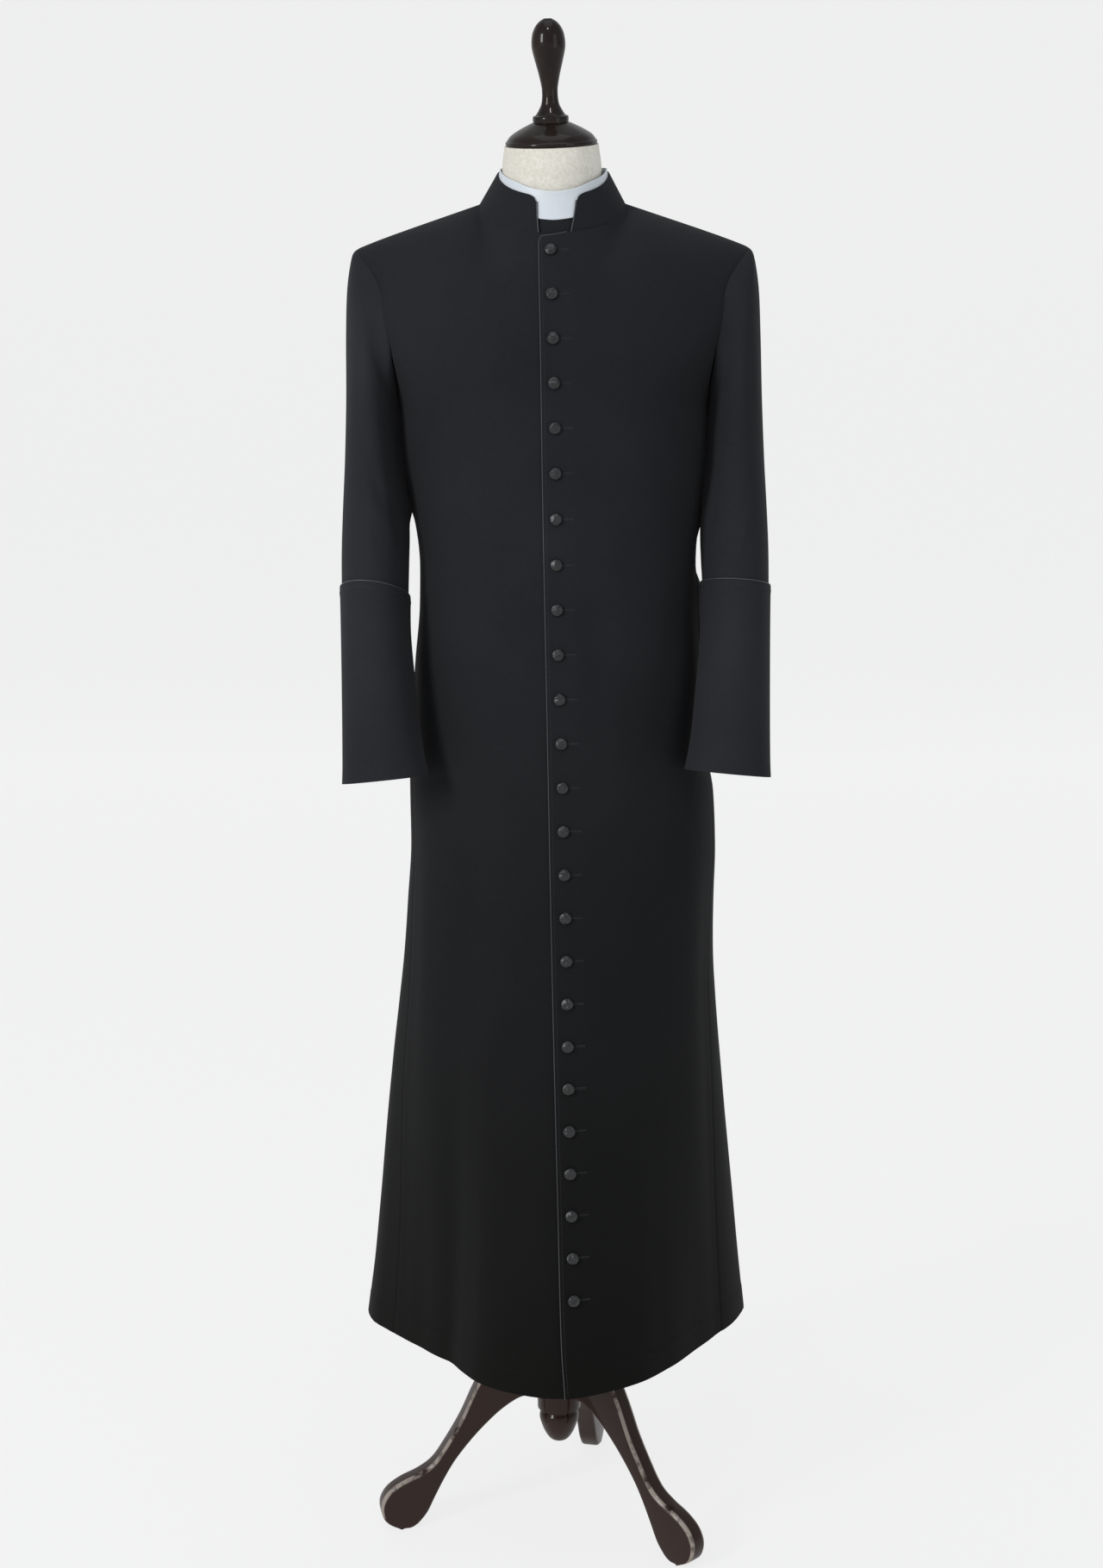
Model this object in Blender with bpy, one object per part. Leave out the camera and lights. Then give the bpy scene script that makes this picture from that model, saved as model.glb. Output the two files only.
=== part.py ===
# A cassock on a limbless dress form, which stands on a turned pole with three carved legs.
# Metres, +Z up. The garment faces -Y, the wearer's left is +X, and the floor is z = 0.

import math
from collections import namedtuple

import bmesh
import bpy
import numpy as np
from mathutils import Euler, Vector

# Driving sizes
HEM_HEIGHT = 0.271
ARMPIT_HEIGHT = 1.437
CLOTH = 0.0016
SEAM_HALF = 0.00015
LAP_LIFT = 0.0024
LAP_SHARE = 0.07
LAP_FLAT = 0.15
LAP_FALL = 0.17
NECK_HALF_WIDTH = 0.0876
NECK_FRONT = 0.079
NECK_BACK = 0.076
NECK_FRONT_HEIGHT = 1.6372
NECK_SIDE_HEIGHT = 1.677
NECK_BACK_HEIGHT = 1.690
NECK_SHARE = 0.4
SHOULDER_X = 0.2365
SHOULDER_SLOPE = 0.333
SHOULDER_ROUND = 0.0023
BUTTON_COUNT = 25
BUTTON_RADIUS = 0.0075
BUTTON_GAP = 0.0006
PIPING_RADIUS = 0.0009
PIPING_REACH = 0.00125
NOTCH_PIPING_SHARE = 0.10
FORM_BOTTOM = 0.800
FORM_LEAN = math.radians(10)
FORM_TILT = math.radians(-1.55)
PART_GAP = 0.0003

# The garment's sections, from the hem up: half widths, depths before and behind the side line,
# the share of the hem's waves, how full the quarters are, the sideways place of the middle, and
# the side seam's angle from the centre front.
Level = namedtuple("Level", "z half_width front back wave full middle seam")
LEVELS = (
    Level(0.271, 0.2492, 0.2620, 0.2640, 1.000, 0.000, -0.0010, 74),
    Level(0.300, 0.2455, 0.2565, 0.2580, 0.965, 0.000, -0.0006, 74),
    Level(0.347, 0.2396, 0.2480, 0.2480, 0.905, 0.000, 0.0000, 74),
    Level(0.441, 0.2302, 0.2330, 0.2300, 0.780, 0.000, 0.0004, 74),
    Level(0.533, 0.2213, 0.2200, 0.2160, 0.660, 0.000, 0.0004, 75),
    Level(0.624, 0.2120, 0.2070, 0.2030, 0.530, 0.000, 0.0008, 76),
    Level(0.692, 0.2045, 0.1970, 0.1935, 0.430, 0.000, 0.0020, 76),
    Level(0.760, 0.1980, 0.1870, 0.1840, 0.330, 0.000, 0.0038, 77),
    Level(0.827, 0.1946, 0.1765, 0.1755, 0.230, 0.000, 0.0064, 78),
    Level(0.893, 0.1922, 0.1670, 0.1670, 0.140, 0.001, 0.0094, 79),
    Level(0.960, 0.1903, 0.1575, 0.1590, 0.080, 0.001, 0.0078, 80),
    Level(1.030, 0.1830, 0.1490, 0.1510, 0.030, 0.001, 0.0022, 81),
    Level(1.127, 0.1765, 0.1380, 0.1340, 0.000, 0.007, 0.0034, 83),
    Level(1.197, 0.1706, 0.1300, 0.1210, 0.000, 0.015, 0.0040, 84),
    Level(1.245, 0.1698, 0.1270, 0.1170, 0.000, 0.019, 0.0042, 85),
    Level(1.303, 0.1742, 0.1275, 0.1190, 0.000, 0.023, 0.0032, 86),
    Level(1.366, 0.1830, 0.1290, 0.1240, 0.000, 0.027, 0.0015, 88),
    Level(1.437, 0.1868, 0.1300, 0.1290, 0.000, 0.028, 0.0000, 90),
)

# How far the cloth swings out just behind the side seam, under the arm, on the wearer's left and
# right, and the angles from the centre front between which it does.
Fold = namedtuple("Fold", "z left right")
SIDE_FOLDS = (
    Fold(1.050, 0.0000, 0.0000),
    Fold(1.120, 0.0060, 0.0000),
    Fold(1.170, 0.0090, 0.0000),
    Fold(1.215, 0.0090, 0.0000),
    Fold(1.240, 0.0000, 0.0000),
    Fold(1.272, 0.0000, 0.0000),
    Fold(1.296, 0.0060, 0.0010),
    Fold(1.325, 0.0065, 0.0075),
    Fold(1.366, 0.0030, 0.0045),
    Fold(1.400, 0.0005, 0.0010),
    Fold(1.437, 0.0000, 0.0000),
)
FOLD_START = 78
FOLD_PEAK = 97
FOLD_END = 132

# The hem's plan: its distance from the middle at each angle from the centre front. The front, the
# back and both sides swing out, and soft troughs lie between them.
Wave = namedtuple("Wave", "angle reach")
HEM_WAVES = (
    Wave(-180, 0.2640),
    Wave(-164, 0.2400),
    Wave(-143, 0.2420),
    Wave(-122, 0.2170),
    Wave(-97, 0.2490),
    Wave(-86, 0.2395),
    Wave(-78, 0.2237),
    Wave(-68, 0.2095),
    Wave(-56, 0.2011),
    Wave(-43, 0.2009),
    Wave(-32, 0.2180),
    Wave(-25, 0.2335),
    Wave(-12, 0.2522),
    Wave(0, 0.2622),
    Wave(15, 0.2470),
    Wave(25, 0.2370),
    Wave(38, 0.2203),
    Wave(57, 0.2080),
    Wave(70, 0.2120),
    Wave(78, 0.2220),
    Wave(88, 0.2348),
    Wave(98, 0.2460),
    Wave(121, 0.2190),
    Wave(142, 0.2430),
    Wave(163, 0.2380),
    Wave(180, 0.2640),
)

# Chest and back rows between the armpit and the shoulder seam: height, depth at the centre line,
# the armhole's point in that row, and how round the row is. Then how the cloth rises above them, at
# the neck and along the shoulder, for each metre.
Row = namedtuple("Row", "z depth hole_x hole_y turn")
FRONT_ROWS = (Row(1.500, 0.1275, 0.1930, 0.0580, 72), Row(1.560, 0.1165, 0.2030, 0.0590, 58))
BACK_ROWS = (Row(1.500, 0.1310, 0.1930, 0.0600, 72), Row(1.560, 0.1290, 0.2030, 0.0620, 58))
CHEST_RISE = Vector((0, 0.25, 0.97))
NECK_RISE = Vector((0, 0.43, 0.90))
RIDGE_RISE = Vector((0, 0.98, 0.20))
RIDGE_START = 0.22
RIDGE_END = 0.55

# The overlapping edge of the wearer's left front and the line of the buttons' middles.
Line = namedtuple("Line", "z x")
FRONT_EDGE = (
    Line(0.271, 0.0070),
    Line(0.336, 0.0033),
    Line(0.498, 0.0001),
    Line(0.803, -0.0053),
    Line(1.056, -0.0089),
    Line(1.309, -0.0125),
    Line(1.508, -0.0143),
    Line(1.620, -0.0157),
    Line(1.640, -0.0135),
)
Place = namedtuple("Place", "number z x")
BUTTON_LINE = (
    Place(1, 1.6165, -0.0028),
    Place(5, 1.4124, 0.0010),
    Place(9, 1.1995, 0.0024),
    Place(13, 0.9905, 0.0074),
    Place(17, 0.7865, 0.0108),
    Place(21, 0.5860, 0.0128),
    Place(25, 0.3854, 0.0169),
)

# The heights of the panels' rows below the armpits.
SKIRT_HEIGHTS = (
    0.271, 0.300, 0.347, 0.430, 0.530, 0.640, 0.760, 0.893, 1.020,
    1.110, 1.170, 1.213, 1.240, 1.272, 1.298, 1.325, 1.375,
)
YOKE_STEPS = 8

# Sleeve rings below the armhole: the outer and the inner end of each ring, its middle and half
# depth from front to back, and how much higher its front is for each metre forward.
Ring = namedtuple("Ring", "outer_x outer_z inner_x inner_z middle half_depth rise")
SLEEVE_RINGS = (
    Ring(0.2425, 1.6150, 0.1897, 1.4270, 0.000, 0.0625, 0.00),
    Ring(0.2482, 1.5800, 0.1896, 1.4130, -0.001, 0.0650, 0.00),
    Ring(0.2508, 1.5250, 0.1890, 1.3930, -0.003, 0.0655, 0.02),
    Ring(0.2530, 1.4500, 0.1868, 1.3610, -0.007, 0.0640, 0.05),
    Ring(0.2560, 1.3750, 0.1823, 1.3230, -0.013, 0.0610, 0.09),
    Ring(0.2590, 1.3150, 0.1785, 1.2870, -0.021, 0.0580, 0.16),
    Ring(0.2608, 1.2640, 0.1790, 1.2500, -0.030, 0.0555, 0.24),
)
CUFF_RINGS = (
    Ring(0.2632, 1.2180, 0.1775, 1.2075, -0.039, 0.0550, 0.34),
    Ring(0.2618, 1.1700, 0.1765, 1.1630, -0.054, 0.0535, 0.30),
    Ring(0.2602, 1.1080, 0.1705, 1.1040, -0.075, 0.0515, 0.26),
    Ring(0.2588, 1.0480, 0.1635, 1.0470, -0.097, 0.0500, 0.22),
    Ring(0.2578, 0.9910, 0.1550, 1.0015, -0.119, 0.0485, 0.13),
)
CUFF_LIFT = 0.0024
# How far in the sleeve's lower part hangs, how much higher the cuff's hem is, and how much higher
# the inner end of its top is, by side.
Hang = namedtuple("Hang", "inward hem_rise top_rise")
SLEEVE_HANGS = {1: Hang(0.0003, 0.0055, 0.016), -1: Hang(0.0018, 0.0, 0.0)}
HANG_START = 1.55
HANG_SPAN = 0.15
SLEEVE_SHORT_SHARE = 0.07
SLEEVE_START = 0.0006

# The standing collar: its top loop, the angle of the notch on each side at the base, and how far
# the notch opens towards the top. The insert and the tab behind it lie inside the collar's face.
COLLAR_HALF_WIDTH = 0.0672
COLLAR_MIDDLE = 0.0012
COLLAR_FRONT = 0.0715
COLLAR_BACK = 0.0660
COLLAR_FRONT_HEIGHT = 1.6805
COLLAR_SIDE_HEIGHT = 1.7130
COLLAR_BACK_HEIGHT = 1.7280
NOTCH_LEFT = 15.0
NOTCH_RIGHT = 12.0
NOTCH_SPREAD_LEFT = 8.5
NOTCH_SPREAD_RIGHT = 5.3
COLLAR_LIFT = 0.0005
INSERT_DEPTH = 0.0023
INSERT_CLOTH = 0.0010
INSERT_LEAN = 0.3
BAND_KNEE = 0.8
TAB_DEPTH = 0.0036
TAB_CLOTH = 0.0012
TAB_BOTTOM = -0.10
TAB_TOP = 0.60
NOTCH_COLUMNS = (-24, -16, -8, 0, 8, 16, 24)
NOTCH_CORNER = {0: 0.80, 1: 0.955}
NOTCH_CLEAR = 4.0
COLLAR_STEPS = (0.0, 0.3, 0.62, 0.86, 1.0)

# The collar insert's edges as shares of the collar's height, by the angle from the centre front.
Edge = namedtuple("Edge", "angle bottom top")
INSERT_EDGES = (
    Edge(0, 0.39, 1.15),
    Edge(25, 0.42, 1.19),
    Edge(45, 0.42, 1.25),
    Edge(90, 0.40, 1.17),
    Edge(135, 0.40, 1.01),
    Edge(180, 0.40, 0.92),
)

# Turned profiles: distance along the axis and radius.
Turn = namedtuple("Turn", "along radius")
CAP_PROFILE = (
    Turn(0.0000, 0.0540),
    Turn(0.0012, 0.0548),
    Turn(0.0040, 0.0548),
    Turn(0.0054, 0.0534),
    Turn(0.0115, 0.0486),
    Turn(0.0185, 0.0375),
    Turn(0.0255, 0.0230),
)
FINIAL_PROFILE = (
    Turn(0.0258, 0.0212),
    Turn(0.0325, 0.0212),
    Turn(0.0345, 0.0178),
    Turn(0.0392, 0.0146),
    Turn(0.0461, 0.0110),
    Turn(0.0530, 0.0097),
    Turn(0.0600, 0.0094),
    Turn(0.0670, 0.0099),
    Turn(0.0805, 0.0126),
    Turn(0.0941, 0.0161),
    Turn(0.1077, 0.0194),
    Turn(0.1150, 0.0201),
    Turn(0.1213, 0.0197),
    Turn(0.1280, 0.0183),
    Turn(0.1348, 0.0150),
    Turn(0.1400, 0.0104),
    Turn(0.1436, 0.0045),
)
HUB_PROFILE = (
    Turn(0.0985, 0.0045),
    Turn(0.1010, 0.0108),
    Turn(0.1065, 0.0158),
    Turn(0.1150, 0.0204),
    Turn(0.1240, 0.0237),
    Turn(0.1310, 0.0254),
    Turn(0.1365, 0.0250),
    Turn(0.1405, 0.0228),
    Turn(0.1430, 0.0222),
    Turn(0.1455, 0.0242),
    Turn(0.1490, 0.0272),
    Turn(0.1540, 0.0280),
    Turn(0.2620, 0.0280),
    Turn(0.2700, 0.0210),
)
HUB_RADIUS = 0.0280
POLE_RADIUS = 0.0200
NECK_RINGS = (Turn(1.6950, 0.0605), Turn(1.7200, 0.0594), Turn(1.7449, 0.0562))
NECK_LEAN_START = 1.690
NECK_MIDDLE_LOW = -0.002
NECK_MIDDLE_TOP = -0.010
NECK_SIDE = -0.0008
NECK_FOOT_HEIGHT = 0.10
NECK_FOOT_DEPTH = 0.012

# How far the form's face lies under the cloth's inner face, by row.
Gap = namedtuple("Gap", "row gap")
FORM_GAPS = (
    Gap(0.45, 0.0120),
    Gap(0.70, 0.0090),
    Gap(0.84, 0.0060),
    Gap(1.00, 0.0050),
    Gap(1.50, 0.0035),
    Gap(1.75, 0.0026),
    Gap(2.00, 0.0012),
)
NECK_OPEN_GAP = 0.0055

# A leg's outline in its own plane, by station: how far out and how high its upper and lower edge are.
Station = namedtuple("Station", "upper_out upper_z lower_out lower_z")
LEG_STATIONS = (
    Station(0.0000, 0.2560, 0.0000, 0.1660),
    Station(0.0340, 0.2490, 0.0230, 0.1660),
    Station(0.0660, 0.2130, 0.0470, 0.1530),
    Station(0.0840, 0.1830, 0.0690, 0.1345),
    Station(0.1020, 0.1450, 0.0905, 0.1125),
    Station(0.1225, 0.1110, 0.1115, 0.0865),
    Station(0.1395, 0.0875, 0.1265, 0.0620),
    Station(0.1585, 0.0745, 0.1385, 0.0390),
    Station(0.1820, 0.0645, 0.1480, 0.0200),
    Station(0.1990, 0.0530, 0.1575, 0.0080),
    Station(0.2080, 0.0385, 0.1640, 0.0025),
    Station(0.2085, 0.0240, 0.1700, 0.0000),
    Station(0.2020, 0.0100, 0.1750, 0.0000),
    Station(0.1850, 0.0000, 0.1800, 0.0000),
)
LEG_START = HUB_RADIUS + 0.0004
LEG_THICKNESS = 0.025
LEG_BEVEL = 0.004
SAME_PLACE = 1e-6
LEG_AZIMUTHS = (("leg_right", -78.5), ("leg_left", 47.0), ("leg_back", 167.0))

# Finishes: linear colour, roughness.
Finish = namedtuple("Finish", "colour roughness")
FINISHES = {
    "cassock_wool": Finish((0.0185, 0.0190, 0.0225), 0.88),
    "button_satin": Finish((0.0270, 0.0275, 0.0310), 0.45),
    "piping_cord": Finish((0.0600, 0.0610, 0.0650), 0.50),
    "collar_white": Finish((0.6800, 0.7300, 0.7900), 0.60),
    "form_linen": Finish((0.7300, 0.7050, 0.6200), 0.85),
    "stand_wood": Finish((0.0230, 0.0105, 0.0090), 0.22),
}


def clear_scene():
    for old in list(bpy.data.objects):
        bpy.data.objects.remove(old, do_unlink=True)


def finish_material(name):
    material = bpy.data.materials.get(name)
    if material:
        return material
    material = bpy.data.materials.new(name)
    material.use_nodes = True
    shader = material.node_tree.nodes["Principled BSDF"]
    shader.inputs["Base Color"].default_value = (*FINISHES[name].colour, 1)
    shader.inputs["Roughness"].default_value = FINISHES[name].roughness
    shader.inputs["Metallic"].default_value = 0
    return material


def smoothstep(value):
    value = min(max(value, 0.0), 1.0)
    return value * value * (3 - 2 * value)


def hermite(start, end, start_slope, end_slope, share):
    square = share * share
    cube = square * share
    return (
        start * (2 * cube - 3 * square + 1)
        + start_slope * (cube - 2 * square + share)
        + end * (3 * square - 2 * cube)
        + end_slope * (cube - square)
    )


def smooth_column(rows, key, column):
    """A smooth curve through one column of a table, read by another column."""
    ordered = sorted(rows, key=lambda row: getattr(row, key))
    places = [getattr(row, key) for row in ordered]
    values = [getattr(row, column) for row in ordered]
    steps = [(values[i + 1] - values[i]) / (places[i + 1] - places[i]) for i in range(len(places) - 1)]
    slopes = [steps[0]]
    for before, after in zip(steps, steps[1:]):
        slopes.append(0.0 if before * after <= 0 else 2 * before * after / (before + after))
    slopes.append(steps[-1])

    def read(place):
        place = min(max(place, places[0]), places[-1])
        i = min(max(int(np.searchsorted(places, place)) - 1, 0), len(places) - 2)
        span = places[i + 1] - places[i]
        share = (place - places[i]) / span
        return hermite(values[i], values[i + 1], slopes[i] * span, slopes[i + 1] * span, share)

    return read


half_width_at = smooth_column(LEVELS, "z", "half_width")
front_at = smooth_column(LEVELS, "z", "front")
back_at = smooth_column(LEVELS, "z", "back")
wave_at = smooth_column(LEVELS, "z", "wave")
fullness_at = smooth_column(LEVELS, "z", "full")
middle_at = smooth_column(LEVELS, "z", "middle")
seam_at = smooth_column(LEVELS, "z", "seam")
front_edge_at = smooth_column(FRONT_EDGE, "z", "x")
button_height_at = smooth_column(BUTTON_LINE, "number", "z")
button_x_at = smooth_column(BUTTON_LINE, "number", "x")
hem_reach_at = smooth_column(HEM_WAVES, "angle", "reach")
left_fold_at = smooth_column(SIDE_FOLDS, "z", "left")
right_fold_at = smooth_column(SIDE_FOLDS, "z", "right")
insert_bottom_at = smooth_column(INSERT_EDGES, "angle", "bottom")
insert_top_at = smooth_column(INSERT_EDGES, "angle", "top")
form_gap_at = smooth_column(FORM_GAPS, "row", "gap")


def oval_reach(turn, z):
    """How far an oval section reaches from its middle in this direction."""
    depth = front_at(z) if math.cos(turn) >= 0 else back_at(z)
    return 1 / math.hypot(math.sin(turn) / half_width_at(z), math.cos(turn) / depth)


def side_fold(angle, z):
    """How much further the cloth reaches in its fold under the arm."""
    reach = left_fold_at(z) if angle > 0 else right_fold_at(z)
    from_front = abs(angle)
    if from_front < FOLD_PEAK:
        return reach * smoothstep((from_front - FOLD_START) / (FOLD_PEAK - FOLD_START))
    return reach * smoothstep((FOLD_END - from_front) / (FOLD_END - FOLD_PEAK))


def skirt_point(angle, z, folded):
    """A point of the garment below the armpits, at an angle in degrees from the centre front."""
    turn = math.radians(angle)
    fall = 1 - hem_reach_at(angle) / oval_reach(turn, HEM_HEIGHT)
    reach = oval_reach(turn, z) * (1 - wave_at(z) * fall + fullness_at(z) * math.sin(2 * turn) ** 2)
    if folded:
        reach += side_fold(angle, z)
    return Vector((middle_at(z) + reach * math.sin(turn), -reach * math.cos(turn), z))


def panel_point(share, row, behind, folded=True):
    """A point of the cloth's outer face. The share runs from the centre line, 0, to the side, 1 or -1,
    and the row from the hem, 0, by the armpit, 1, to the neck and shoulder, 2."""
    if row <= 1:
        z = HEM_HEIGHT + row * (ARMPIT_HEIGHT - HEM_HEIGHT)
        seam = seam_at(z)
        if behind:
            angle = math.copysign(180 - abs(share) * (180 - seam), share)
        else:
            angle = share * seam
        return skirt_point(angle, z, folded)
    if share < 0:
        mirrored = panel_point(-share, row, behind, folded)
        return Vector((-mirrored.x, mirrored.y, mirrored.z))
    sign = 1 if behind else -1
    below = panel_point(share, 0.95, behind, False)
    below.x -= middle_at(below.z)
    low = panel_point(share, 1, behind)
    middle, high = (chest_row_point(share, line, sign) for line in (BACK_ROWS if behind else FRONT_ROWS))
    climb = row - 1
    if climb <= 0.25:
        return hermite(low, middle, (middle - below) / 2, (high - low) / 2, climb / 0.25)
    chest_rise = Vector((0, -sign * CHEST_RISE.y, CHEST_RISE.z))
    if climb <= 0.5:
        return hermite(middle, high, (high - low) / 2, chest_rise * (high - middle).length, (climb - 0.25) / 0.25)
    top = top_edge_point(share, sign)
    ridge = smoothstep((share - RIDGE_START) / (RIDGE_END - RIDGE_START))
    arrive = NECK_RISE.lerp(RIDGE_RISE, ridge)
    arrive = Vector((0, -sign * arrive.y, arrive.z))
    reach = (top - high).length * 1.1
    return hermite(high, top, chest_rise * reach, arrive * reach, (climb - 0.5) / 0.5)


def chest_row_point(share, line, sign):
    turn = math.radians(line.turn)
    across = math.sin(share * turn) / math.sin(turn)
    inward = (1 - math.cos(share * turn)) / (1 - math.cos(turn))
    return Vector((line.hole_x * across, sign * (line.depth + (line.hole_y - line.depth) * inward), line.z))


def neckline_point(angle):
    """The seam between the body and the collar, at an angle in degrees from the centre front."""
    turn = math.radians(angle)
    forward = math.cos(turn)
    if forward >= 0:
        y = -NECK_FRONT * forward
        z = NECK_SIDE_HEIGHT + (NECK_FRONT_HEIGHT - NECK_SIDE_HEIGHT) * forward
    else:
        y = -NECK_BACK * forward
        z = NECK_SIDE_HEIGHT + (NECK_SIDE_HEIGHT - NECK_BACK_HEIGHT) * forward
    return Vector((NECK_HALF_WIDTH * math.sin(turn), y, z))


def top_edge_point(share, sign):
    if share <= NECK_SHARE:
        angle = 90 * share / NECK_SHARE
        return neckline_point(angle if sign < 0 else 180 - angle)
    along = (share - NECK_SHARE) / (1 - NECK_SHARE)
    x = NECK_HALF_WIDTH + (SHOULDER_X - NECK_HALF_WIDTH) * along
    drop = SHOULDER_SLOPE * (x - NECK_HALF_WIDTH) + SHOULDER_ROUND * max(along, 0) ** 6
    return Vector((x, 0, NECK_SIDE_HEIGHT - drop))


def one_panel_normal(share, row, behind, folded=True):
    step = 0.002
    low_row = max(row - step, 0)
    high_row = min(row + step, 2)
    right_place = panel_point(share + step, row, behind, folded)
    left_place = panel_point(share - step, row, behind, folded)
    across = right_place - left_place
    up = panel_point(share, high_row, behind, folded) - panel_point(share, low_row, behind, folded)
    outward = across.cross(up).normalized()
    return -outward if behind else outward


def panel_normal(share, row, behind, folded=True):
    """The cloth's outward direction. Where a front and a back are sewn together, both share one."""
    near = math.copysign(max(abs(share) - 0.004, 0), share)
    sewn_side = abs(share) > 0.999 and row <= 1
    sewn_shoulder = abs(share) >= NECK_SHARE - 0.001 and row > 1.999
    if not sewn_side and not sewn_shoulder:
        return one_panel_normal(near if abs(share) > 0.999 else share, row, behind, folded)
    at = near if sewn_side or abs(share) > 0.999 else share
    return (one_panel_normal(at, row, False, folded) + one_panel_normal(at, row, True, folded)).normalized()


def row_of_height(z):
    return (z - HEM_HEIGHT) / (ARMPIT_HEIGHT - HEM_HEIGHT)


def panel_rows():
    return [row_of_height(z) for z in SKIRT_HEIGHTS] + [1 + i / YOKE_STEPS for i in range(YOKE_STEPS + 1)]


def share_of_x(x, row):
    """The share at which the front's surface has this x, near the centre line."""
    middle = panel_point(0, row, False).x
    probe = 0.05
    return probe * (x - middle) / (panel_point(probe, row, False).x - middle)


def front_edge_share(row):
    return share_of_x(front_edge_at(panel_point(0, row, False).z), row)


def lap_lift(share, edge):
    """How far the wearer's left front stands off, because the right front runs on beneath it."""
    return LAP_LIFT * (1 - smoothstep((share - edge - LAP_FLAT) / LAP_FALL))


def new_object(name, mesh, finish, smooth_angle=40):
    for polygon in mesh.polygons:
        polygon.use_smooth = True
    mesh.set_sharp_from_angle(angle=math.radians(smooth_angle))
    mesh.materials.append(finish_material(finish))
    made = bpy.data.objects.new(name, mesh)
    bpy.context.scene.collection.objects.link(made)
    return made


def mesh_from(name, points, faces):
    """A closed mesh with its faces outward, with points that coincide merged."""
    mesh = bpy.data.meshes.new(name)
    mesh.from_pydata([tuple(point) for point in points], [], faces)
    work = bmesh.new()
    work.from_mesh(mesh)
    bmesh.ops.remove_doubles(work, verts=work.verts, dist=0.00001)
    bmesh.ops.recalc_face_normals(work, faces=work.faces)
    work.to_mesh(mesh)
    work.free()
    return mesh


def halves(first, second, third, fourth):
    """The two triangles of a four-sided face, which meet from its first corner to its third."""
    return (first, second, third), (first, third, fourth)


def wall(name, outer, inner, finish, around=False):
    """A cloth wall between two grids of points, closed along its edges."""
    rows = len(outer)
    columns = len(outer[0])
    points = [point for line in outer for point in line] + [point for line in inner for point in line]
    offset = rows * columns
    faces = []
    spans = columns if around else columns - 1
    for i in range(rows - 1):
        for j in range(spans):
            k = (j + 1) % columns
            low, low_next = i * columns + j, i * columns + k
            high, high_next = low + columns, low_next + columns
            faces += halves(low, low_next, high_next, high)
            faces += halves(offset + low, offset + high, offset + high_next, offset + low_next)
    edge_lines = [[i * columns + j for j in range(columns)] for i in (0, rows - 1)]
    if not around:
        edge_lines += [[i * columns + j for i in range(rows)] for j in (0, columns - 1)]
    for number, line in enumerate(edge_lines):
        ends = line[1:] + line[:1] if around and number < 2 else line[1:]
        for first, second in zip(line, ends):
            faces.append((first, second, offset + second, offset + first))
    return new_object(name, mesh_from(name, points, faces), finish)


def pulled_back(grid):
    """The grid with its four edges drawn in along the surface, which leaves the gap of a seam."""
    drawn = [list(line) for line in grid]
    for line in drawn:
        line[0] = line[0] + (line[1] - line[0]).normalized() * SEAM_HALF
        line[-1] = line[-1] + (line[-2] - line[-1]).normalized() * SEAM_HALF
    for j in range(len(drawn[0])):
        drawn[0][j] = drawn[0][j] + (drawn[1][j] - drawn[0][j]).normalized() * SEAM_HALF
        drawn[-1][j] = drawn[-1][j] + (drawn[-2][j] - drawn[-1][j]).normalized() * SEAM_HALF
    return drawn


def panel(name, shares_of, behind, lift_of):
    """A body panel: its rows of shares, moved out by its lift, with the cloth's thickness inward."""
    outer = []
    inner = []
    base = []
    normals = []
    lifts = []
    for row in panel_rows():
        shares = shares_of(row)
        base.append([panel_point(share, row, behind) for share in shares])
        normals.append([panel_normal(share, row, behind) for share in shares])
        lifts.append([lift_of(share, row) for share in shares])
    base = pulled_back(base)
    for line, directions, raised in zip(base, normals, lifts):
        outer.append([point + n * lift for point, n, lift in zip(line, directions, raised)])
        inner.append([point + n * (lift - CLOTH) for point, n, lift in zip(line, directions, raised)])
    return wall(name, outer, inner, "cassock_wool")


# The panels' columns, by their share from the centre line to the side.
OUTER_SHARES = (0.4, 0.5, 0.6, 0.7, 0.8, 0.9, 1.0)
FRONT_SHARES = (0.18, 0.235, 0.29, 0.345)
LAP_END = 0.11
BACK_SHARES = (0.0, 0.08, 0.16, 0.24, 0.32) + OUTER_SHARES


def left_front_shares(row):
    edge = front_edge_share(row)
    return [edge, edge + LAP_SHARE, edge + 2 * LAP_SHARE] + list(FRONT_SHARES + OUTER_SHARES)


def right_front_shares(row):
    edge = front_edge_share(row)
    shares = [edge + 2 * LAP_SHARE, edge + LAP_SHARE, edge, -LAP_END]
    return shares + [-share for share in FRONT_SHARES + OUTER_SHARES]


def make_body():
    panel("front_left", left_front_shares, False, lambda share, row: lap_lift(share, front_edge_share(row)))
    panel("front_right", right_front_shares, False, lambda share, row: 0.0)
    panel("back_left", lambda row: list(BACK_SHARES), True, lambda share, row: 0.0)
    panel("back_right", lambda row: [-share for share in BACK_SHARES], True, lambda share, row: 0.0)


def armhole_loop(side):
    """The armhole from the shoulder's tip, down its front, by the armpit and up its back."""
    rows = [2 - i / YOKE_STEPS for i in range(YOKE_STEPS + 1)]
    front = [panel_point(1, row, False) for row in rows]
    back = [panel_point(1, row, True) for row in reversed(rows[1:-1])]
    loop = [point + Vector((SLEEVE_START, 0, 0)) for point in front + back]
    return [Vector((side * point.x, point.y, point.z)) for point in loop]


def ring_between(ring, other, share):
    return Ring(*(a + (b - a) * share for a, b in zip(ring, other)))


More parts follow.
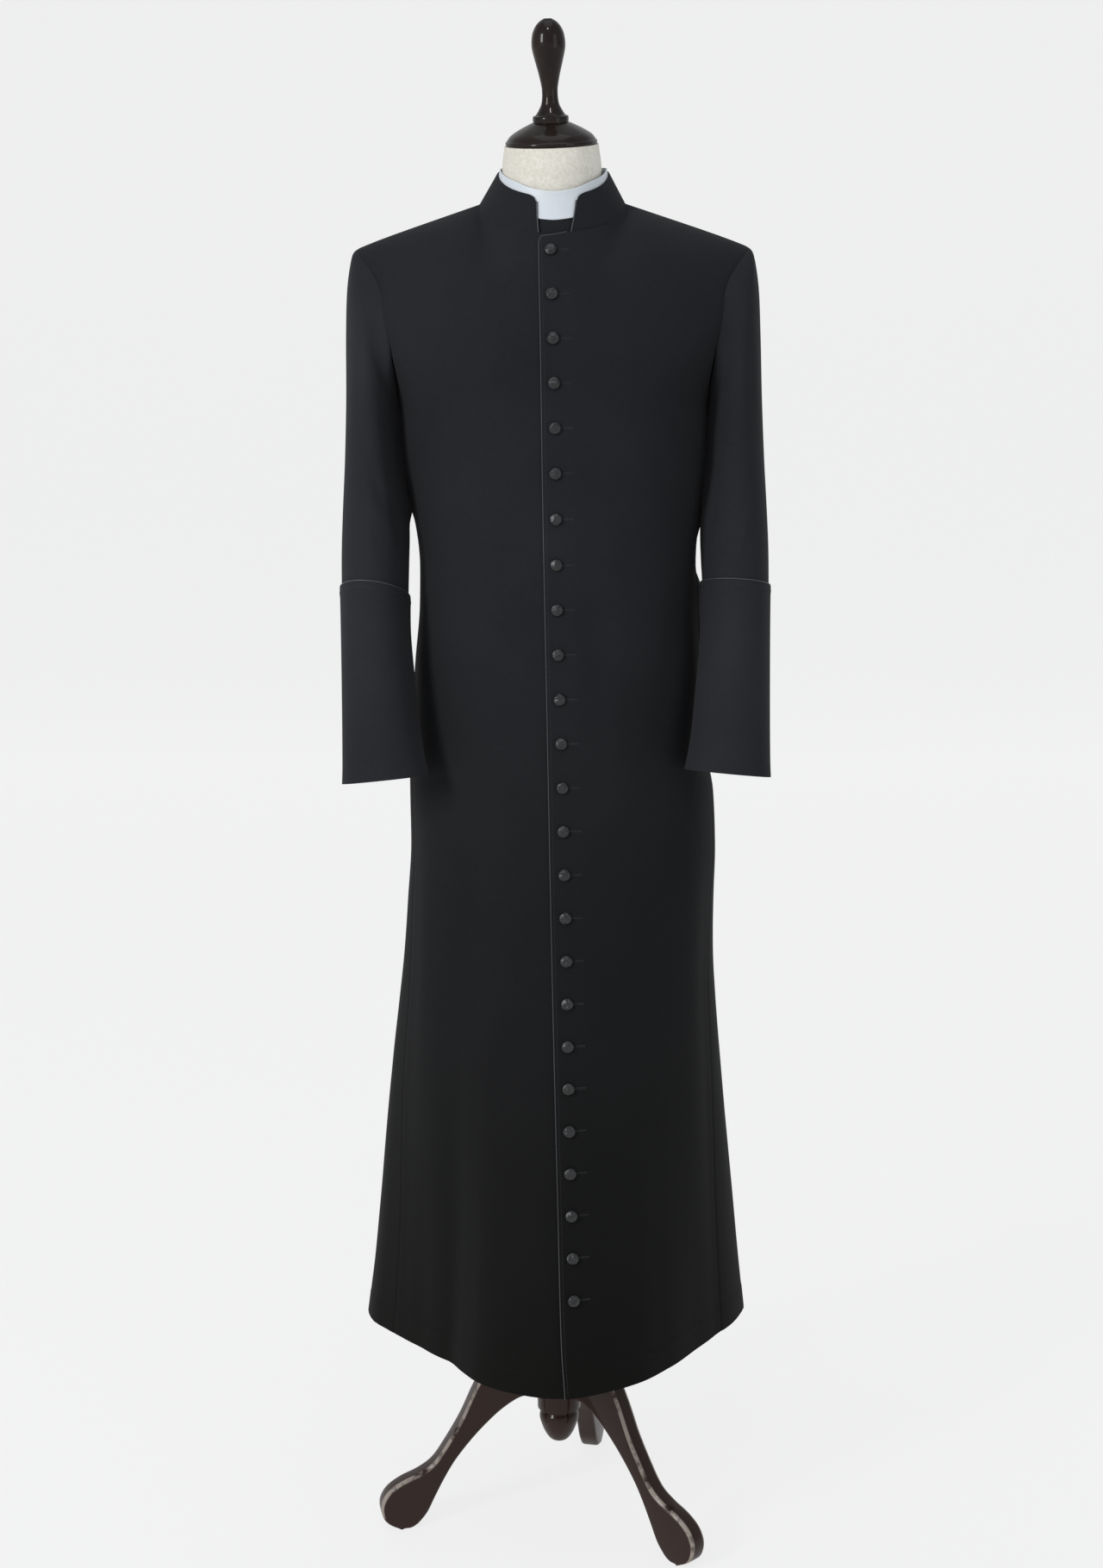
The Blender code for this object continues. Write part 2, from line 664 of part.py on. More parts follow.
def ring_points(ring, side, shrink=0.0):
    """A sleeve's ring, drawn in all round by shrink."""
    outer = Vector((ring.outer_x, ring.middle, ring.outer_z))
    inner = Vector((ring.inner_x, ring.middle, ring.inner_z))
    centre = (outer + inner) / 2
    half = (outer - inner) / 2
    half *= 1 - shrink / half.length
    depth = ring.half_depth - shrink
    inward = SLEEVE_HANGS[side].inward * smoothstep((HANG_START - ring.outer_z) / HANG_SPAN)
    centre.x -= inward
    points = []
    for i in range(2 * YOKE_STEPS):
        turn = math.pi * i / YOKE_STEPS
        point = centre + half * math.cos(turn) + Vector((0, -depth, depth * ring.rise)) * math.sin(turn)
        points.append(Vector((side * point.x, point.y, point.z)))
    return points


def ring_normals(grid, side):
    rows = len(grid)
    columns = len(grid[0])
    normals = []
    for i in range(rows):
        line = []
        for j in range(columns):
            around = grid[i][(j + 1) % columns] - grid[i][j - 1]
            down = grid[min(i + 1, rows - 1)][j] - grid[max(i - 1, 0)][j]
            line.append(around.cross(down).normalized() * side)
        normals.append(line)
    return normals


def armhole_normals(normals, side):
    """The sleeve's first directions, turned at the shoulder to those of the body that it is sewn to."""
    rows = [2 - i / YOKE_STEPS for i in range(YOKE_STEPS + 1)]
    body = [panel_normal(1, row, False) for row in rows]
    body += [panel_normal(1, row, True) for row in reversed(rows[1:-1])]
    turned = []
    for j, (own, sewn) in enumerate(zip(normals, body)):
        from_top = 180 * min(j, len(normals) - j) / YOKE_STEPS
        sewn = Vector((side * sewn.x, sewn.y, sewn.z))
        turned.append(own.lerp(sewn, smoothstep((135 - from_top) / 45)).normalized())
    return turned


def tube_wall(name, grid, side, finish, first_normals=None):
    normals = ring_normals(grid, side)
    if first_normals:
        normals[0] = first_normals(normals[0], side)
    inner = [[p - n * CLOTH for p, n in zip(line, directions)] for line, directions in zip(grid, normals)]
    return wall(name, grid, inner, finish, around=True)


def make_sleeve(word, side):
    hang = SLEEVE_HANGS[side]
    top = CUFF_RINGS[0]
    top = top._replace(inner_z=top.inner_z + hang.top_rise, rise=top.rise - hang.top_rise / 2 / top.half_depth)
    hem = CUFF_RINGS[-1]
    hem = hem._replace(outer_z=hem.outer_z + hang.hem_rise, inner_z=hem.inner_z + hang.hem_rise)
    cuff = (top,) + CUFF_RINGS[1:-1] + (hem,)
    grid = [armhole_loop(side)] + [ring_points(ring, side) for ring in SLEEVE_RINGS]
    grid += [ring_points(ring, side, CUFF_LIFT) for ring in cuff[:-1]]
    grid.append(ring_points(ring_between(hem, cuff[-2], SLEEVE_SHORT_SHARE), side, CUFF_LIFT))
    tube_wall("sleeve_" + word, grid, side, "cassock_wool", armhole_normals)
    tube_wall("cuff_" + word, [ring_points(ring, side) for ring in cuff], side, "cassock_wool")
    lip = ring_points(cuff[0], side, CLOTH / 2)
    below = ring_points(cuff[1], side, CLOTH / 2)
    path = [point + (point - under).normalized() * PIPING_REACH for point, under in zip(lip, below)]
    tube("cuff_piping_" + word, path, PIPING_RADIUS, "piping_cord", closed=True)


def tube(name, path, radius, finish, closed=False, sides=6):
    """A round cord along a path."""
    count = len(path)
    points = []
    faces = []
    reference = None
    for i, point in enumerate(path):
        after = path[(i + 1) % count] if closed else path[min(i + 1, count - 1)]
        before = path[i - 1] if closed or i else path[0]
        along = (after - before).normalized()
        if reference is None:
            reference = along.orthogonal()
        reference = (reference - along * reference.dot(along)).normalized()
        across = along.cross(reference)
        for j in range(sides):
            turn = 2 * math.pi * j / sides
            points.append(point + (reference * math.cos(turn) + across * math.sin(turn)) * radius)
    for i in range(count if closed else count - 1):
        k = (i + 1) % count
        shift = best_shift(points, i * sides, k * sides, sides) if closed and k == 0 else 0
        for j in range(sides):
            low = (j + shift) % sides
            high = (j + 1 + shift) % sides
            faces.append((i * sides + j, i * sides + (j + 1) % sides, k * sides + high, k * sides + low))
    if not closed:
        faces.append(tuple(range(sides)))
        faces.append(tuple((count - 1) * sides + j for j in reversed(range(sides))))
    return new_object(name, mesh_from(name, points, faces), finish, 60)


def best_shift(points, first, second, sides):
    """The turn that lines up the last ring of a closed cord with its first."""
    return min(range(sides), key=lambda shift: (points[first] - points[second + shift]).length)


def collar_point(angle, height, depth=0.0):
    """A point on the collar's outer face, or that much inside it. Height runs from 0 to 1."""
    turn = math.radians(angle)
    forward = math.cos(turn)
    base = neckline_point(angle)
    front = forward >= 0
    y = -(COLLAR_FRONT if front else COLLAR_BACK) * forward
    end_height = COLLAR_FRONT_HEIGHT if front else COLLAR_BACK_HEIGHT
    z = COLLAR_SIDE_HEIGHT + (end_height - COLLAR_SIDE_HEIGHT) * abs(forward)
    top = Vector((COLLAR_MIDDLE + COLLAR_HALF_WIDTH * math.sin(turn), y, z))
    outward = Vector((math.sin(turn), -forward, 0.35)).normalized()
    if height > 1:
        rise = (top - base) * Vector((INSERT_LEAN, INSERT_LEAN, 1))
        return top + rise * (height - 1) - outward * depth
    return base.lerp(top, height) - outward * depth


def neck_angles():
    """The angles round the neck at which the body's panels have their columns."""
    left = [share for share in left_front_shares(2) if share <= NECK_SHARE + 0.001]
    right = [share for share in right_front_shares(2) if share >= -NECK_SHARE - 0.001]
    back = [share for share in BACK_SHARES if share < NECK_SHARE - 0.001]
    turn = 90 / NECK_SHARE
    front_angles = sorted(share * turn for share in left + right)
    left_angles = [a for a in front_angles if a > NOTCH_LEFT + 2]
    right_angles = [360 + a for a in front_angles if a < -NOTCH_RIGHT - NOTCH_CLEAR]
    back_angles = [180 - share * turn for share in reversed(back)] + [180 + share * turn for share in back[1:]]
    return sorted(set(round(a, 3) for a in left_angles + back_angles + right_angles))


def collar_columns(height):
    """The collar's columns at this height, from one side of the notch round the back to the other."""
    angles = neck_angles()
    start = NOTCH_LEFT + NOTCH_SPREAD_LEFT * height
    end = 360 - NOTCH_RIGHT - NOTCH_SPREAD_RIGHT * height
    first = max(angles[0], start + NOTCH_CLEAR)
    last = min(angles[-1], end - NOTCH_CLEAR)
    return [start, first] + angles[1:-1] + [last, end]


def make_collar():
    outer = []
    inner = []
    for height in COLLAR_STEPS:
        columns = collar_columns(height)
        lift = Vector((0, 0, COLLAR_LIFT * (1 - height)))
        outer_line = []
        inner_line = []
        for j, angle in enumerate(columns):
            from_end = min(j, len(columns) - 1 - j)
            share = height * NOTCH_CORNER.get(from_end, 1.0)
            outer_line.append(collar_point(angle, share) + lift)
            inner_line.append(collar_point(angle, share, CLOTH) + lift)
        outer.append(outer_line)
        inner.append(inner_line)
    wall("collar", outer, inner, "cassock_wool")
    for word, at, beside in (("left", 0, 1), ("right", -1, -2)):
        path = []
        for line, back in zip(outer, inner):
            middle = (line[at] + back[at]) / 2
            away = ((line[at] - line[beside]) * Vector((1, 1, 0))).normalized()
            path.append(middle + away * PIPING_REACH)
        path[0] = path[0].lerp(path[1], 0.2)
        tube("collar_piping_" + word, path, PIPING_RADIUS, "piping_cord")


def band(name, columns, edges_of, depth, thickness, finish, around):
    """A band of cloth that follows the collar from inside, between two edges. Above the collar's own
    edge it bends upright."""
    outer = []
    inner = []
    for step in range(4):
        outer_line = []
        inner_line = []
        for angle in columns:
            bottom, top = edges_of(min(angle % 360, -angle % 360))
            knee = min(1, bottom + (top - bottom) * BAND_KNEE)
            height = (bottom, (bottom + knee) / 2, knee, top)[step]
            outer_line.append(collar_point(angle, height, depth))
            inner_line.append(collar_point(angle, height, depth + thickness))
        outer.append(outer_line)
        inner.append(inner_line)
    wall(name, outer, inner, finish, around)


def insert_edges(angle):
    return insert_bottom_at(angle), insert_top_at(angle)


def tab_edges(angle):
    return TAB_BOTTOM, TAB_TOP


def make_insert():
    """The white collar liner, a closed band inside the collar, which shows in the notch."""
    columns = list(NOTCH_COLUMNS[1:-1]) + neck_angles()
    band("collar_insert", columns, insert_edges, INSERT_DEPTH, INSERT_CLOTH, "collar_white", True)


def make_neck_tab():
    """The black flap behind the notch, below the white liner."""
    band("neck_tab", NOTCH_COLUMNS, tab_edges, TAB_DEPTH, TAB_CLOTH, "cassock_wool", False)


def make_front_piping():
    """The cord along the overlapping edge and round its corner to the collar's notch."""
    out = LAP_LIFT - CLOTH / 2
    path = []
    for row in panel_rows():
        edge = front_edge_share(row)
        point = panel_point(edge, row, False)
        away = (point - panel_point(edge + 0.01, row, False)).normalized()
        path.append(point + away * PIPING_REACH + panel_normal(edge, row, False) * out)
    top = []
    for share in left_front_shares(2)[:3]:
        point = panel_point(share, 2, False)
        rise = (point - panel_point(share, 1.99, False)).normalized()
        top.append(point + rise * (PIPING_REACH + PART_GAP) + panel_normal(share, 2, False) * out)
    path += [top[0] + away * PIPING_REACH * 0.6, top[1], top[1].lerp(top[2], NOTCH_PIPING_SHARE)]
    tube("front_piping", path, PIPING_RADIUS, "piping_cord")


def row_at_height(z):
    """The row at which the front's centre line has this height."""
    low = 0.0
    high = 2.0
    for _ in range(40):
        half = (low + high) / 2
        if panel_point(0, half, False).z < z:
            low = half
        else:
            high = half
    return low


def button_places():
    """Each button's place down the front: a point on the cloth and its outward direction."""
    for number in range(1, BUTTON_COUNT + 1):
        row = row_at_height(button_height_at(number))
        share = share_of_x(button_x_at(number), row)
        yield panel_point(share, row, False), panel_normal(share, row, False)


def lathe(name, profile, finish, segments, smooth_angle=40):
    """A solid turned about its own Z axis, with flat ends."""
    points = []
    faces = []
    for turn in profile:
        for j in range(segments):
            angle = 2 * math.pi * j / segments
            points.append((turn.radius * math.cos(angle), turn.radius * math.sin(angle), turn.along))
    for i in range(len(profile) - 1):
        for j in range(segments):
            k = (j + 1) % segments
            faces.append((i * segments + j, i * segments + k, (i + 1) * segments + k, (i + 1) * segments + j))
    faces.append(tuple(reversed(range(segments))))
    faces.append(tuple((len(profile) - 1) * segments + j for j in range(segments)))
    return new_object(name, mesh_from(name, points, faces), finish, smooth_angle)


def make_buttons():
    dome = (
        Turn(0.0000, BUTTON_RADIUS * 0.93),
        Turn(0.0014, BUTTON_RADIUS),
        Turn(0.0034, BUTTON_RADIUS * 0.72),
        Turn(0.0043, BUTTON_RADIUS * 0.30),
    )
    first = None
    for number, (point, normal) in enumerate(button_places(), start=1):
        name = f"button_{number:02d}"
        if first is None:
            button = lathe(name, dome, "button_satin", 10, 60)
            first = button
        else:
            button = bpy.data.objects.new(name, first.data)
            bpy.context.scene.collection.objects.link(button)
        button.location = point + normal * (LAP_LIFT + BUTTON_GAP)
        button.rotation_mode = "QUATERNION"
        button.rotation_quaternion = normal.to_track_quat("Z", "Y")


def form_point(share, row, behind):
    point = panel_point(share, row, behind, False)
    normal = panel_normal(share, row, behind, False)
    gap = form_gap_at(row)
    if abs(share) < NECK_SHARE and row > 1.5:
        open_neck = 1 - abs(share) / NECK_SHARE
        gap += NECK_OPEN_GAP * smoothstep(open_neck * 2) * smoothstep((row - 1.5) / 0.5)
    return point - normal * (CLOTH + gap)


def neck_ring(ring, count):
    """A ring of the form's neck, which leans forward and tips down at the front as it rises."""
    lean = smoothstep((ring.along - NECK_LEAN_START) / (NECK_RINGS[-1].along - NECK_LEAN_START))
    middle = NECK_MIDDLE_LOW + (NECK_MIDDLE_TOP - NECK_MIDDLE_LOW) * lean
    points = []
    for i in range(count):
        turn = 2 * math.pi * i / count
        y = -ring.radius * math.cos(turn)
        x = ring.radius * math.sin(turn)
        rise = y * math.tan(FORM_LEAN) - x * math.tan(FORM_TILT)
        points.append(Vector((x + NECK_SIDE * lean, middle + y, ring.along + rise * lean)))
    return points


def make_form():
    """The torso: rows that follow the cloth from inside, flat shoulder ends, a neck and a flat base."""
    heights = [FORM_BOTTOM] + [z for z in SKIRT_HEIGHTS if z > FORM_BOTTOM + 0.05]
    rows = [row_of_height(z) for z in heights] + [1 + i / YOKE_STEPS for i in range(YOKE_STEPS + 1)]
    shares = list(BACK_SHARES)
    count = len(shares)
    points = []
    for row in rows:
        points += [form_point(share, row, False) for share in shares]
        points += [form_point(share, row, True) for share in reversed(shares)]
        points += [form_point(-share, row, True) for share in shares[1:]]
        points += [form_point(-share, row, False) for share in reversed(shares[1:])]
    around = 4 * count - 2
    faces = []
    for i in range(len(rows) - 1):
        for j in range(around):
            low, low_next = i * around + j, i * around + (j + 1) % around
            high, high_next = low + around, low_next + around
            falling = count <= j < 2 * count - 1 or j >= 3 * count - 1
            corners = (low_next, high_next, high, low) if falling else (low, low_next, high_next, high)
            faces += halves(*corners)
    for point in points[:around]:
        point.z = FORM_BOTTOM
    faces.append(tuple(reversed(range(around))))
    top = (len(rows) - 1) * around
    neck_columns = shares.index(NECK_SHARE)
    front_left = [top + j for j in range(neck_columns + 1)]
    back_left = [top + 2 * count - 1 - j for j in range(neck_columns, -1, -1)]
    back_right = [top + 2 * count - 1 + j for j in range(1, neck_columns + 1)]
    front_right = [top + around - j for j in range(neck_columns, 0, -1)]
    loop = front_left + back_left[1:] + back_right + front_right[1:]
    around_neck = len(loop)
    angles = [360 * i / around_neck for i in range(around_neck)]
    rings = [[collar_point(angle, NECK_FOOT_HEIGHT, NECK_FOOT_DEPTH) for angle in angles]]
    rings += [neck_ring(ring, around_neck) for ring in NECK_RINGS]
    for ring in rings:
        above = [len(points) + j for j in range(around_neck)]
        points += ring
        for j in range(around_neck):
            k = (j + 1) % around_neck
            faces.append((loop[j], loop[k], above[k], above[j]))
        loop = above
    faces.append(tuple(loop))
    return new_object("torso", mesh_from("torso", points, faces), "form_linen")


def make_neck_top():
    base = Vector((NECK_SIDE, NECK_MIDDLE_TOP, NECK_RINGS[-1].along))
    lean = Euler((FORM_LEAN, FORM_TILT, 0))
    up = lean.to_matrix() @ Vector((0, 0, 1))
    for name, profile, segments in (("neck_cap", CAP_PROFILE, 28), ("finial", FINIAL_PROFILE, 16)):
        turned = lathe(name, profile, "stand_wood", segments)
        turned.location = base + up * PART_GAP
        turned.rotation_euler = lean


def leg_outline():
    """The leg's outline in its own plane, out from the hub and up from the floor."""
    upper = [(LEG_START + row.upper_out, row.upper_z) for row in LEG_STATIONS]
    lower = [(LEG_START + row.lower_out, row.lower_z) for row in LEG_STATIONS]
    return upper + lower[-2::-1]


def make_legs():
    outline = leg_outline()
    half = LEG_THICKNESS / 2
    for name, azimuth in LEG_AZIMUTHS:
        work = bmesh.new()
        side = work.faces.new([work.verts.new((out, -half, up)) for out, up in outline])
        grown = bmesh.ops.extrude_face_region(work, geom=[side])
        moved = [item for item in grown["geom"] if isinstance(item, bmesh.types.BMVert)]
        bmesh.ops.translate(work, verts=moved, vec=(0, LEG_THICKNESS, 0))
        rims = [
            edge
            for edge in work.edges
            if abs(edge.verts[0].co.y - edge.verts[1].co.y) < SAME_PLACE
            and max(v.co.x for v in edge.verts) > LEG_START + 0.001
        ]
        bmesh.ops.bevel(work, geom=rims, offset=LEG_BEVEL, segments=1, affect="EDGES", clamp_overlap=True)
        bmesh.ops.recalc_face_normals(work, faces=work.faces)
        mesh = bpy.data.meshes.new(name)
        work.to_mesh(mesh)
        work.free()
        leg = new_object(name, mesh, "stand_wood", 30)
        leg.rotation_euler = (0, 0, math.radians(azimuth - 90))


def make_stand():
    lathe("hub", HUB_PROFILE, "stand_wood", 20)
    hub_top = HUB_PROFILE[-1].along
    pole = (Turn(hub_top + PART_GAP, POLE_RADIUS), Turn(FORM_BOTTOM - PART_GAP, POLE_RADIUS))
    lathe("pole", pole, "stand_wood", 20)
    make_legs()


clear_scene()
make_body()
for sleeve_word, sleeve_side in (("left", 1), ("right", -1)):
    make_sleeve(sleeve_word, sleeve_side)
make_collar()
make_insert()
make_neck_tab()
make_front_piping()
make_buttons()
make_form()
make_neck_top()
make_stand()
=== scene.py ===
import math
from collections import namedtuple

import bmesh
import bpy
import numpy as np
from mathutils import Euler, Matrix, Vector


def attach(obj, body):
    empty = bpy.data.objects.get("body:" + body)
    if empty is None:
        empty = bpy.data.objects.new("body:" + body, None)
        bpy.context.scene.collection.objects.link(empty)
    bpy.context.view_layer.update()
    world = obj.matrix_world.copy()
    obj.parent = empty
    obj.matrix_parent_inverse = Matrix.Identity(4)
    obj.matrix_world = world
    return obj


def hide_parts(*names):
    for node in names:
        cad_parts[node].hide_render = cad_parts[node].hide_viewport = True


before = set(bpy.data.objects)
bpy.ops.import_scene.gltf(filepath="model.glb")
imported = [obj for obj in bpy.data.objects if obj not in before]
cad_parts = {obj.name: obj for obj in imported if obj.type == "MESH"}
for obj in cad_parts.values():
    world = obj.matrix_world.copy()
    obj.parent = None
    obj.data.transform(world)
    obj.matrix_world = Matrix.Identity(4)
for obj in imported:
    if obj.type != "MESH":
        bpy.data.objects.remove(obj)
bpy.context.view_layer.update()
print("frame loaded,", len(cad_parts), "nodes")

Level = namedtuple("Level", "z halfWidth front back wave full middle seam")
Wave = namedtuple("Wave", "angle reach")
Row = namedtuple("Row", "z depth holeX holeY turn")
Line = namedtuple("Line", "z x")
Place = namedtuple("Place", "number z x")
Ring = namedtuple("Ring", "outerX outerZ innerX innerZ middle halfDepth rise")
Hang = namedtuple("Hang", "inward hemRise topRise")
Fold = namedtuple("Fold", "z left right")
Edge = namedtuple("Edge", "angle bottom top")
Turn = namedtuple("Turn", "along radius")
Gap = namedtuple("Gap", "row gap")
Station = namedtuple("Station", "upperOut upperZ lowerOut lowerZ")


def smoothstep(value):
    value = min(max(value, 0.0), 1.0)
    return value * value * (3 - 2 * value)


def hermite(start, end, startSlope, endSlope, share):
    square = share * share
    cube = square * share
    return (
        start * (2 * cube - 3 * square + 1)
        + startSlope * (cube - 2 * square + share)
        + end * (3 * square - 2 * cube)
        + endSlope * (cube - square)
    )


def smoothColumn(rows, key, column):
    ordered = sorted(rows, key=lambda row: getattr(row, key))
    places = [getattr(row, key) for row in ordered]
    values = [getattr(row, column) for row in ordered]
    steps = [(values[i + 1] - values[i]) / (places[i + 1] - places[i]) for i in range(len(places) - 1)]
    slopes = [steps[0]]
    for before, after in zip(steps, steps[1:]):
        slopes.append(0.0 if before * after <= 0 else 2 * before * after / (before + after))
    slopes.append(steps[-1])

    def read(place):
        place = min(max(place, places[0]), places[-1])
        i = min(max(int(np.searchsorted(places, place)) - 1, 0), len(places) - 2)
        span = places[i + 1] - places[i]
        share = (place - places[i]) / span
        return hermite(values[i], values[i + 1], slopes[i] * span, slopes[i + 1] * span, share)

    return read

cassock = {
    "hemHeight": 0.271,
    "armpitHeight": 1.437,
    "cloth": 0.0016,
    "lapLift": 0.0024,
    "lapShare": 0.07,
    "lapFlat": 0.15,
    "lapFall": 0.17,
    "neckHalfWidth": 0.0876,
    "neckFront": 0.079,
    "neckBack": 0.076,
    "neckFrontHeight": 1.6372,
    "neckSideHeight": 1.677,
    "neckBackHeight": 1.690,
    "neckShare": 0.4,
    "shoulderX": 0.2365,
    "shoulderSlope": 0.333,
    "shoulderRound": 0.0023,
    "chestRise": Vector((0, 0.25, 0.97)),
    "neckRise": Vector((0, 0.43, 0.90)),
    "ridgeRise": Vector((0, 0.98, 0.20)),
    "ridgeStart": 0.22,
    "ridgeEnd": 0.55,
    "levels": (
        Level(0.271, 0.2492, 0.2620, 0.2640, 1.000, 0.000, -0.0010, 74),
        Level(0.300, 0.2455, 0.2565, 0.2580, 0.965, 0.000, -0.0006, 74),
        Level(0.347, 0.2396, 0.2480, 0.2480, 0.905, 0.000, 0.0000, 74),
        Level(0.441, 0.2302, 0.2330, 0.2300, 0.780, 0.000, 0.0004, 74),
        Level(0.533, 0.2213, 0.2200, 0.2160, 0.660, 0.000, 0.0004, 75),
        Level(0.624, 0.2120, 0.2070, 0.2030, 0.530, 0.000, 0.0008, 76),
        Level(0.692, 0.2045, 0.1970, 0.1935, 0.430, 0.000, 0.0020, 76),
        Level(0.760, 0.1980, 0.1870, 0.1840, 0.330, 0.000, 0.0038, 77),
        Level(0.827, 0.1946, 0.1765, 0.1755, 0.230, 0.000, 0.0064, 78),
        Level(0.893, 0.1922, 0.1670, 0.1670, 0.140, 0.001, 0.0094, 79),
        Level(0.960, 0.1903, 0.1575, 0.1590, 0.080, 0.001, 0.0078, 80),
        Level(1.030, 0.1830, 0.1490, 0.1510, 0.030, 0.001, 0.0022, 81),
        Level(1.127, 0.1765, 0.1380, 0.1340, 0.000, 0.007, 0.0034, 83),
        Level(1.197, 0.1706, 0.1300, 0.1210, 0.000, 0.015, 0.0040, 84),
        Level(1.245, 0.1698, 0.1270, 0.1170, 0.000, 0.019, 0.0042, 85),
        Level(1.303, 0.1742, 0.1275, 0.1190, 0.000, 0.023, 0.0032, 86),
        Level(1.366, 0.1830, 0.1290, 0.1240, 0.000, 0.027, 0.0015, 88),
        Level(1.437, 0.1868, 0.1300, 0.1290, 0.000, 0.028, 0.0000, 90),
    ),
    "sideFolds": (
        Fold(1.050, 0.0000, 0.0000),
        Fold(1.120, 0.0060, 0.0000),
        Fold(1.170, 0.0090, 0.0000),
        Fold(1.215, 0.0090, 0.0000),
        Fold(1.240, 0.0000, 0.0000),
        Fold(1.272, 0.0000, 0.0000),
        Fold(1.296, 0.0060, 0.0010),
        Fold(1.325, 0.0065, 0.0075),
        Fold(1.366, 0.0030, 0.0045),
        Fold(1.400, 0.0005, 0.0010),
        Fold(1.437, 0.0000, 0.0000),
    ),
    "foldStart": 78,
    "foldPeak": 97,
    "foldEnd": 132,
    "hemWaves": (
        Wave(-180, 0.2640),
        Wave(-164, 0.2400),
        Wave(-143, 0.2420),
        Wave(-122, 0.2170),
        Wave(-97, 0.2490),
        Wave(-86, 0.2395),
        Wave(-78, 0.2237),
        Wave(-68, 0.2095),
        Wave(-56, 0.2011),
        Wave(-43, 0.2009),
        Wave(-32, 0.2180),
        Wave(-25, 0.2335),
        Wave(-12, 0.2522),
        Wave(0, 0.2622),
        Wave(15, 0.2470),
        Wave(25, 0.2370),
        Wave(38, 0.2203),
        Wave(57, 0.2080),
        Wave(70, 0.2120),
        Wave(78, 0.2220),
        Wave(88, 0.2348),
        Wave(98, 0.2460),
        Wave(121, 0.2190),
        Wave(142, 0.2430),
        Wave(163, 0.2380),
        Wave(180, 0.2640),
    ),
    "frontRows": (Row(1.500, 0.1275, 0.1930, 0.0580, 72), Row(1.560, 0.1165, 0.2030, 0.0590, 58)),
    "backRows": (Row(1.500, 0.1310, 0.1930, 0.0600, 72), Row(1.560, 0.1290, 0.2030, 0.0620, 58)),
    "frontEdge": (
        Line(0.271, 0.0070),
        Line(0.336, 0.0033),
        Line(0.498, 0.0001),
        Line(0.803, -0.0053),
        Line(1.056, -0.0089),
        Line(1.309, -0.0125),
        Line(1.508, -0.0143),
        Line(1.620, -0.0157),
        Line(1.640, -0.0135),
    ),
}

halfWidthAt = smoothColumn(cassock["levels"], "z", "halfWidth")
frontAt = smoothColumn(cassock["levels"], "z", "front")
backAt = smoothColumn(cassock["levels"], "z", "back")
waveAt = smoothColumn(cassock["levels"], "z", "wave")
fullnessAt = smoothColumn(cassock["levels"], "z", "full")
middleAt = smoothColumn(cassock["levels"], "z", "middle")
seamAt = smoothColumn(cassock["levels"], "z", "seam")
frontEdgeAt = smoothColumn(cassock["frontEdge"], "z", "x")
hemReachAt = smoothColumn(cassock["hemWaves"], "angle", "reach")
leftFoldAt = smoothColumn(cassock["sideFolds"], "z", "left")
rightFoldAt = smoothColumn(cassock["sideFolds"], "z", "right")


def ovalReach(turn, z):
    depth = frontAt(z) if math.cos(turn) >= 0 else backAt(z)
    return 1 / math.hypot(math.sin(turn) / halfWidthAt(z), math.cos(turn) / depth)


def sideFold(angle, z):
    reach = leftFoldAt(z) if angle > 0 else rightFoldAt(z)
    fromFront = abs(angle)
    if fromFront < cassock["foldPeak"]:
        rise = cassock["foldPeak"] - cassock["foldStart"]
        return reach * smoothstep((fromFront - cassock["foldStart"]) / rise)
    return reach * smoothstep((cassock["foldEnd"] - fromFront) / (cassock["foldEnd"] - cassock["foldPeak"]))


def skirtPoint(angle, z, folded):
    turn = math.radians(angle)
    fall = 1 - hemReachAt(angle) / ovalReach(turn, cassock["hemHeight"])
    reach = ovalReach(turn, z) * (1 - waveAt(z) * fall + fullnessAt(z) * math.sin(2 * turn) ** 2)
    if folded:
        reach += sideFold(angle, z)
    return Vector((middleAt(z) + reach * math.sin(turn), -reach * math.cos(turn), z))


def panelPoint(share, row, behind, folded=True):
    if row <= 1:
        z = cassock["hemHeight"] + row * (cassock["armpitHeight"] - cassock["hemHeight"])
        seam = seamAt(z)
        if behind:
            angle = math.copysign(180 - abs(share) * (180 - seam), share)
        else:
            angle = share * seam
        return skirtPoint(angle, z, folded)
    if share < 0:
        mirrored = panelPoint(-share, row, behind, folded)
        return Vector((-mirrored.x, mirrored.y, mirrored.z))
    sign = 1 if behind else -1
    below = panelPoint(share, 0.95, behind, False)
    below.x -= middleAt(below.z)
    low = panelPoint(share, 1, behind)
    lines = cassock["backRows"] if behind else cassock["frontRows"]
    middle, high = (chestRowPoint(share, line, sign) for line in lines)
    climb = row - 1
    if climb <= 0.25:
        return hermite(low, middle, (middle - below) / 2, (high - low) / 2, climb / 0.25)
    chestRise = Vector((0, -sign * cassock["chestRise"].y, cassock["chestRise"].z))
    if climb <= 0.5:
        endSlope = chestRise * (high - middle).length
        return hermite(middle, high, (high - low) / 2, endSlope, (climb - 0.25) / 0.25)
    top = topEdgePoint(share, sign)
    ridge = smoothstep((share - cassock["ridgeStart"]) / (cassock["ridgeEnd"] - cassock["ridgeStart"]))
    arrive = cassock["neckRise"].lerp(cassock["ridgeRise"], ridge)
    arrive = Vector((0, -sign * arrive.y, arrive.z))
    reach = (top - high).length * 1.1
    return hermite(high, top, chestRise * reach, arrive * reach, (climb - 0.5) / 0.5)


def chestRowPoint(share, line, sign):
    turn = math.radians(line.turn)
    across = math.sin(share * turn) / math.sin(turn)
    inward = (1 - math.cos(share * turn)) / (1 - math.cos(turn))
    return Vector((line.holeX * across, sign * (line.depth + (line.holeY - line.depth) * inward), line.z))


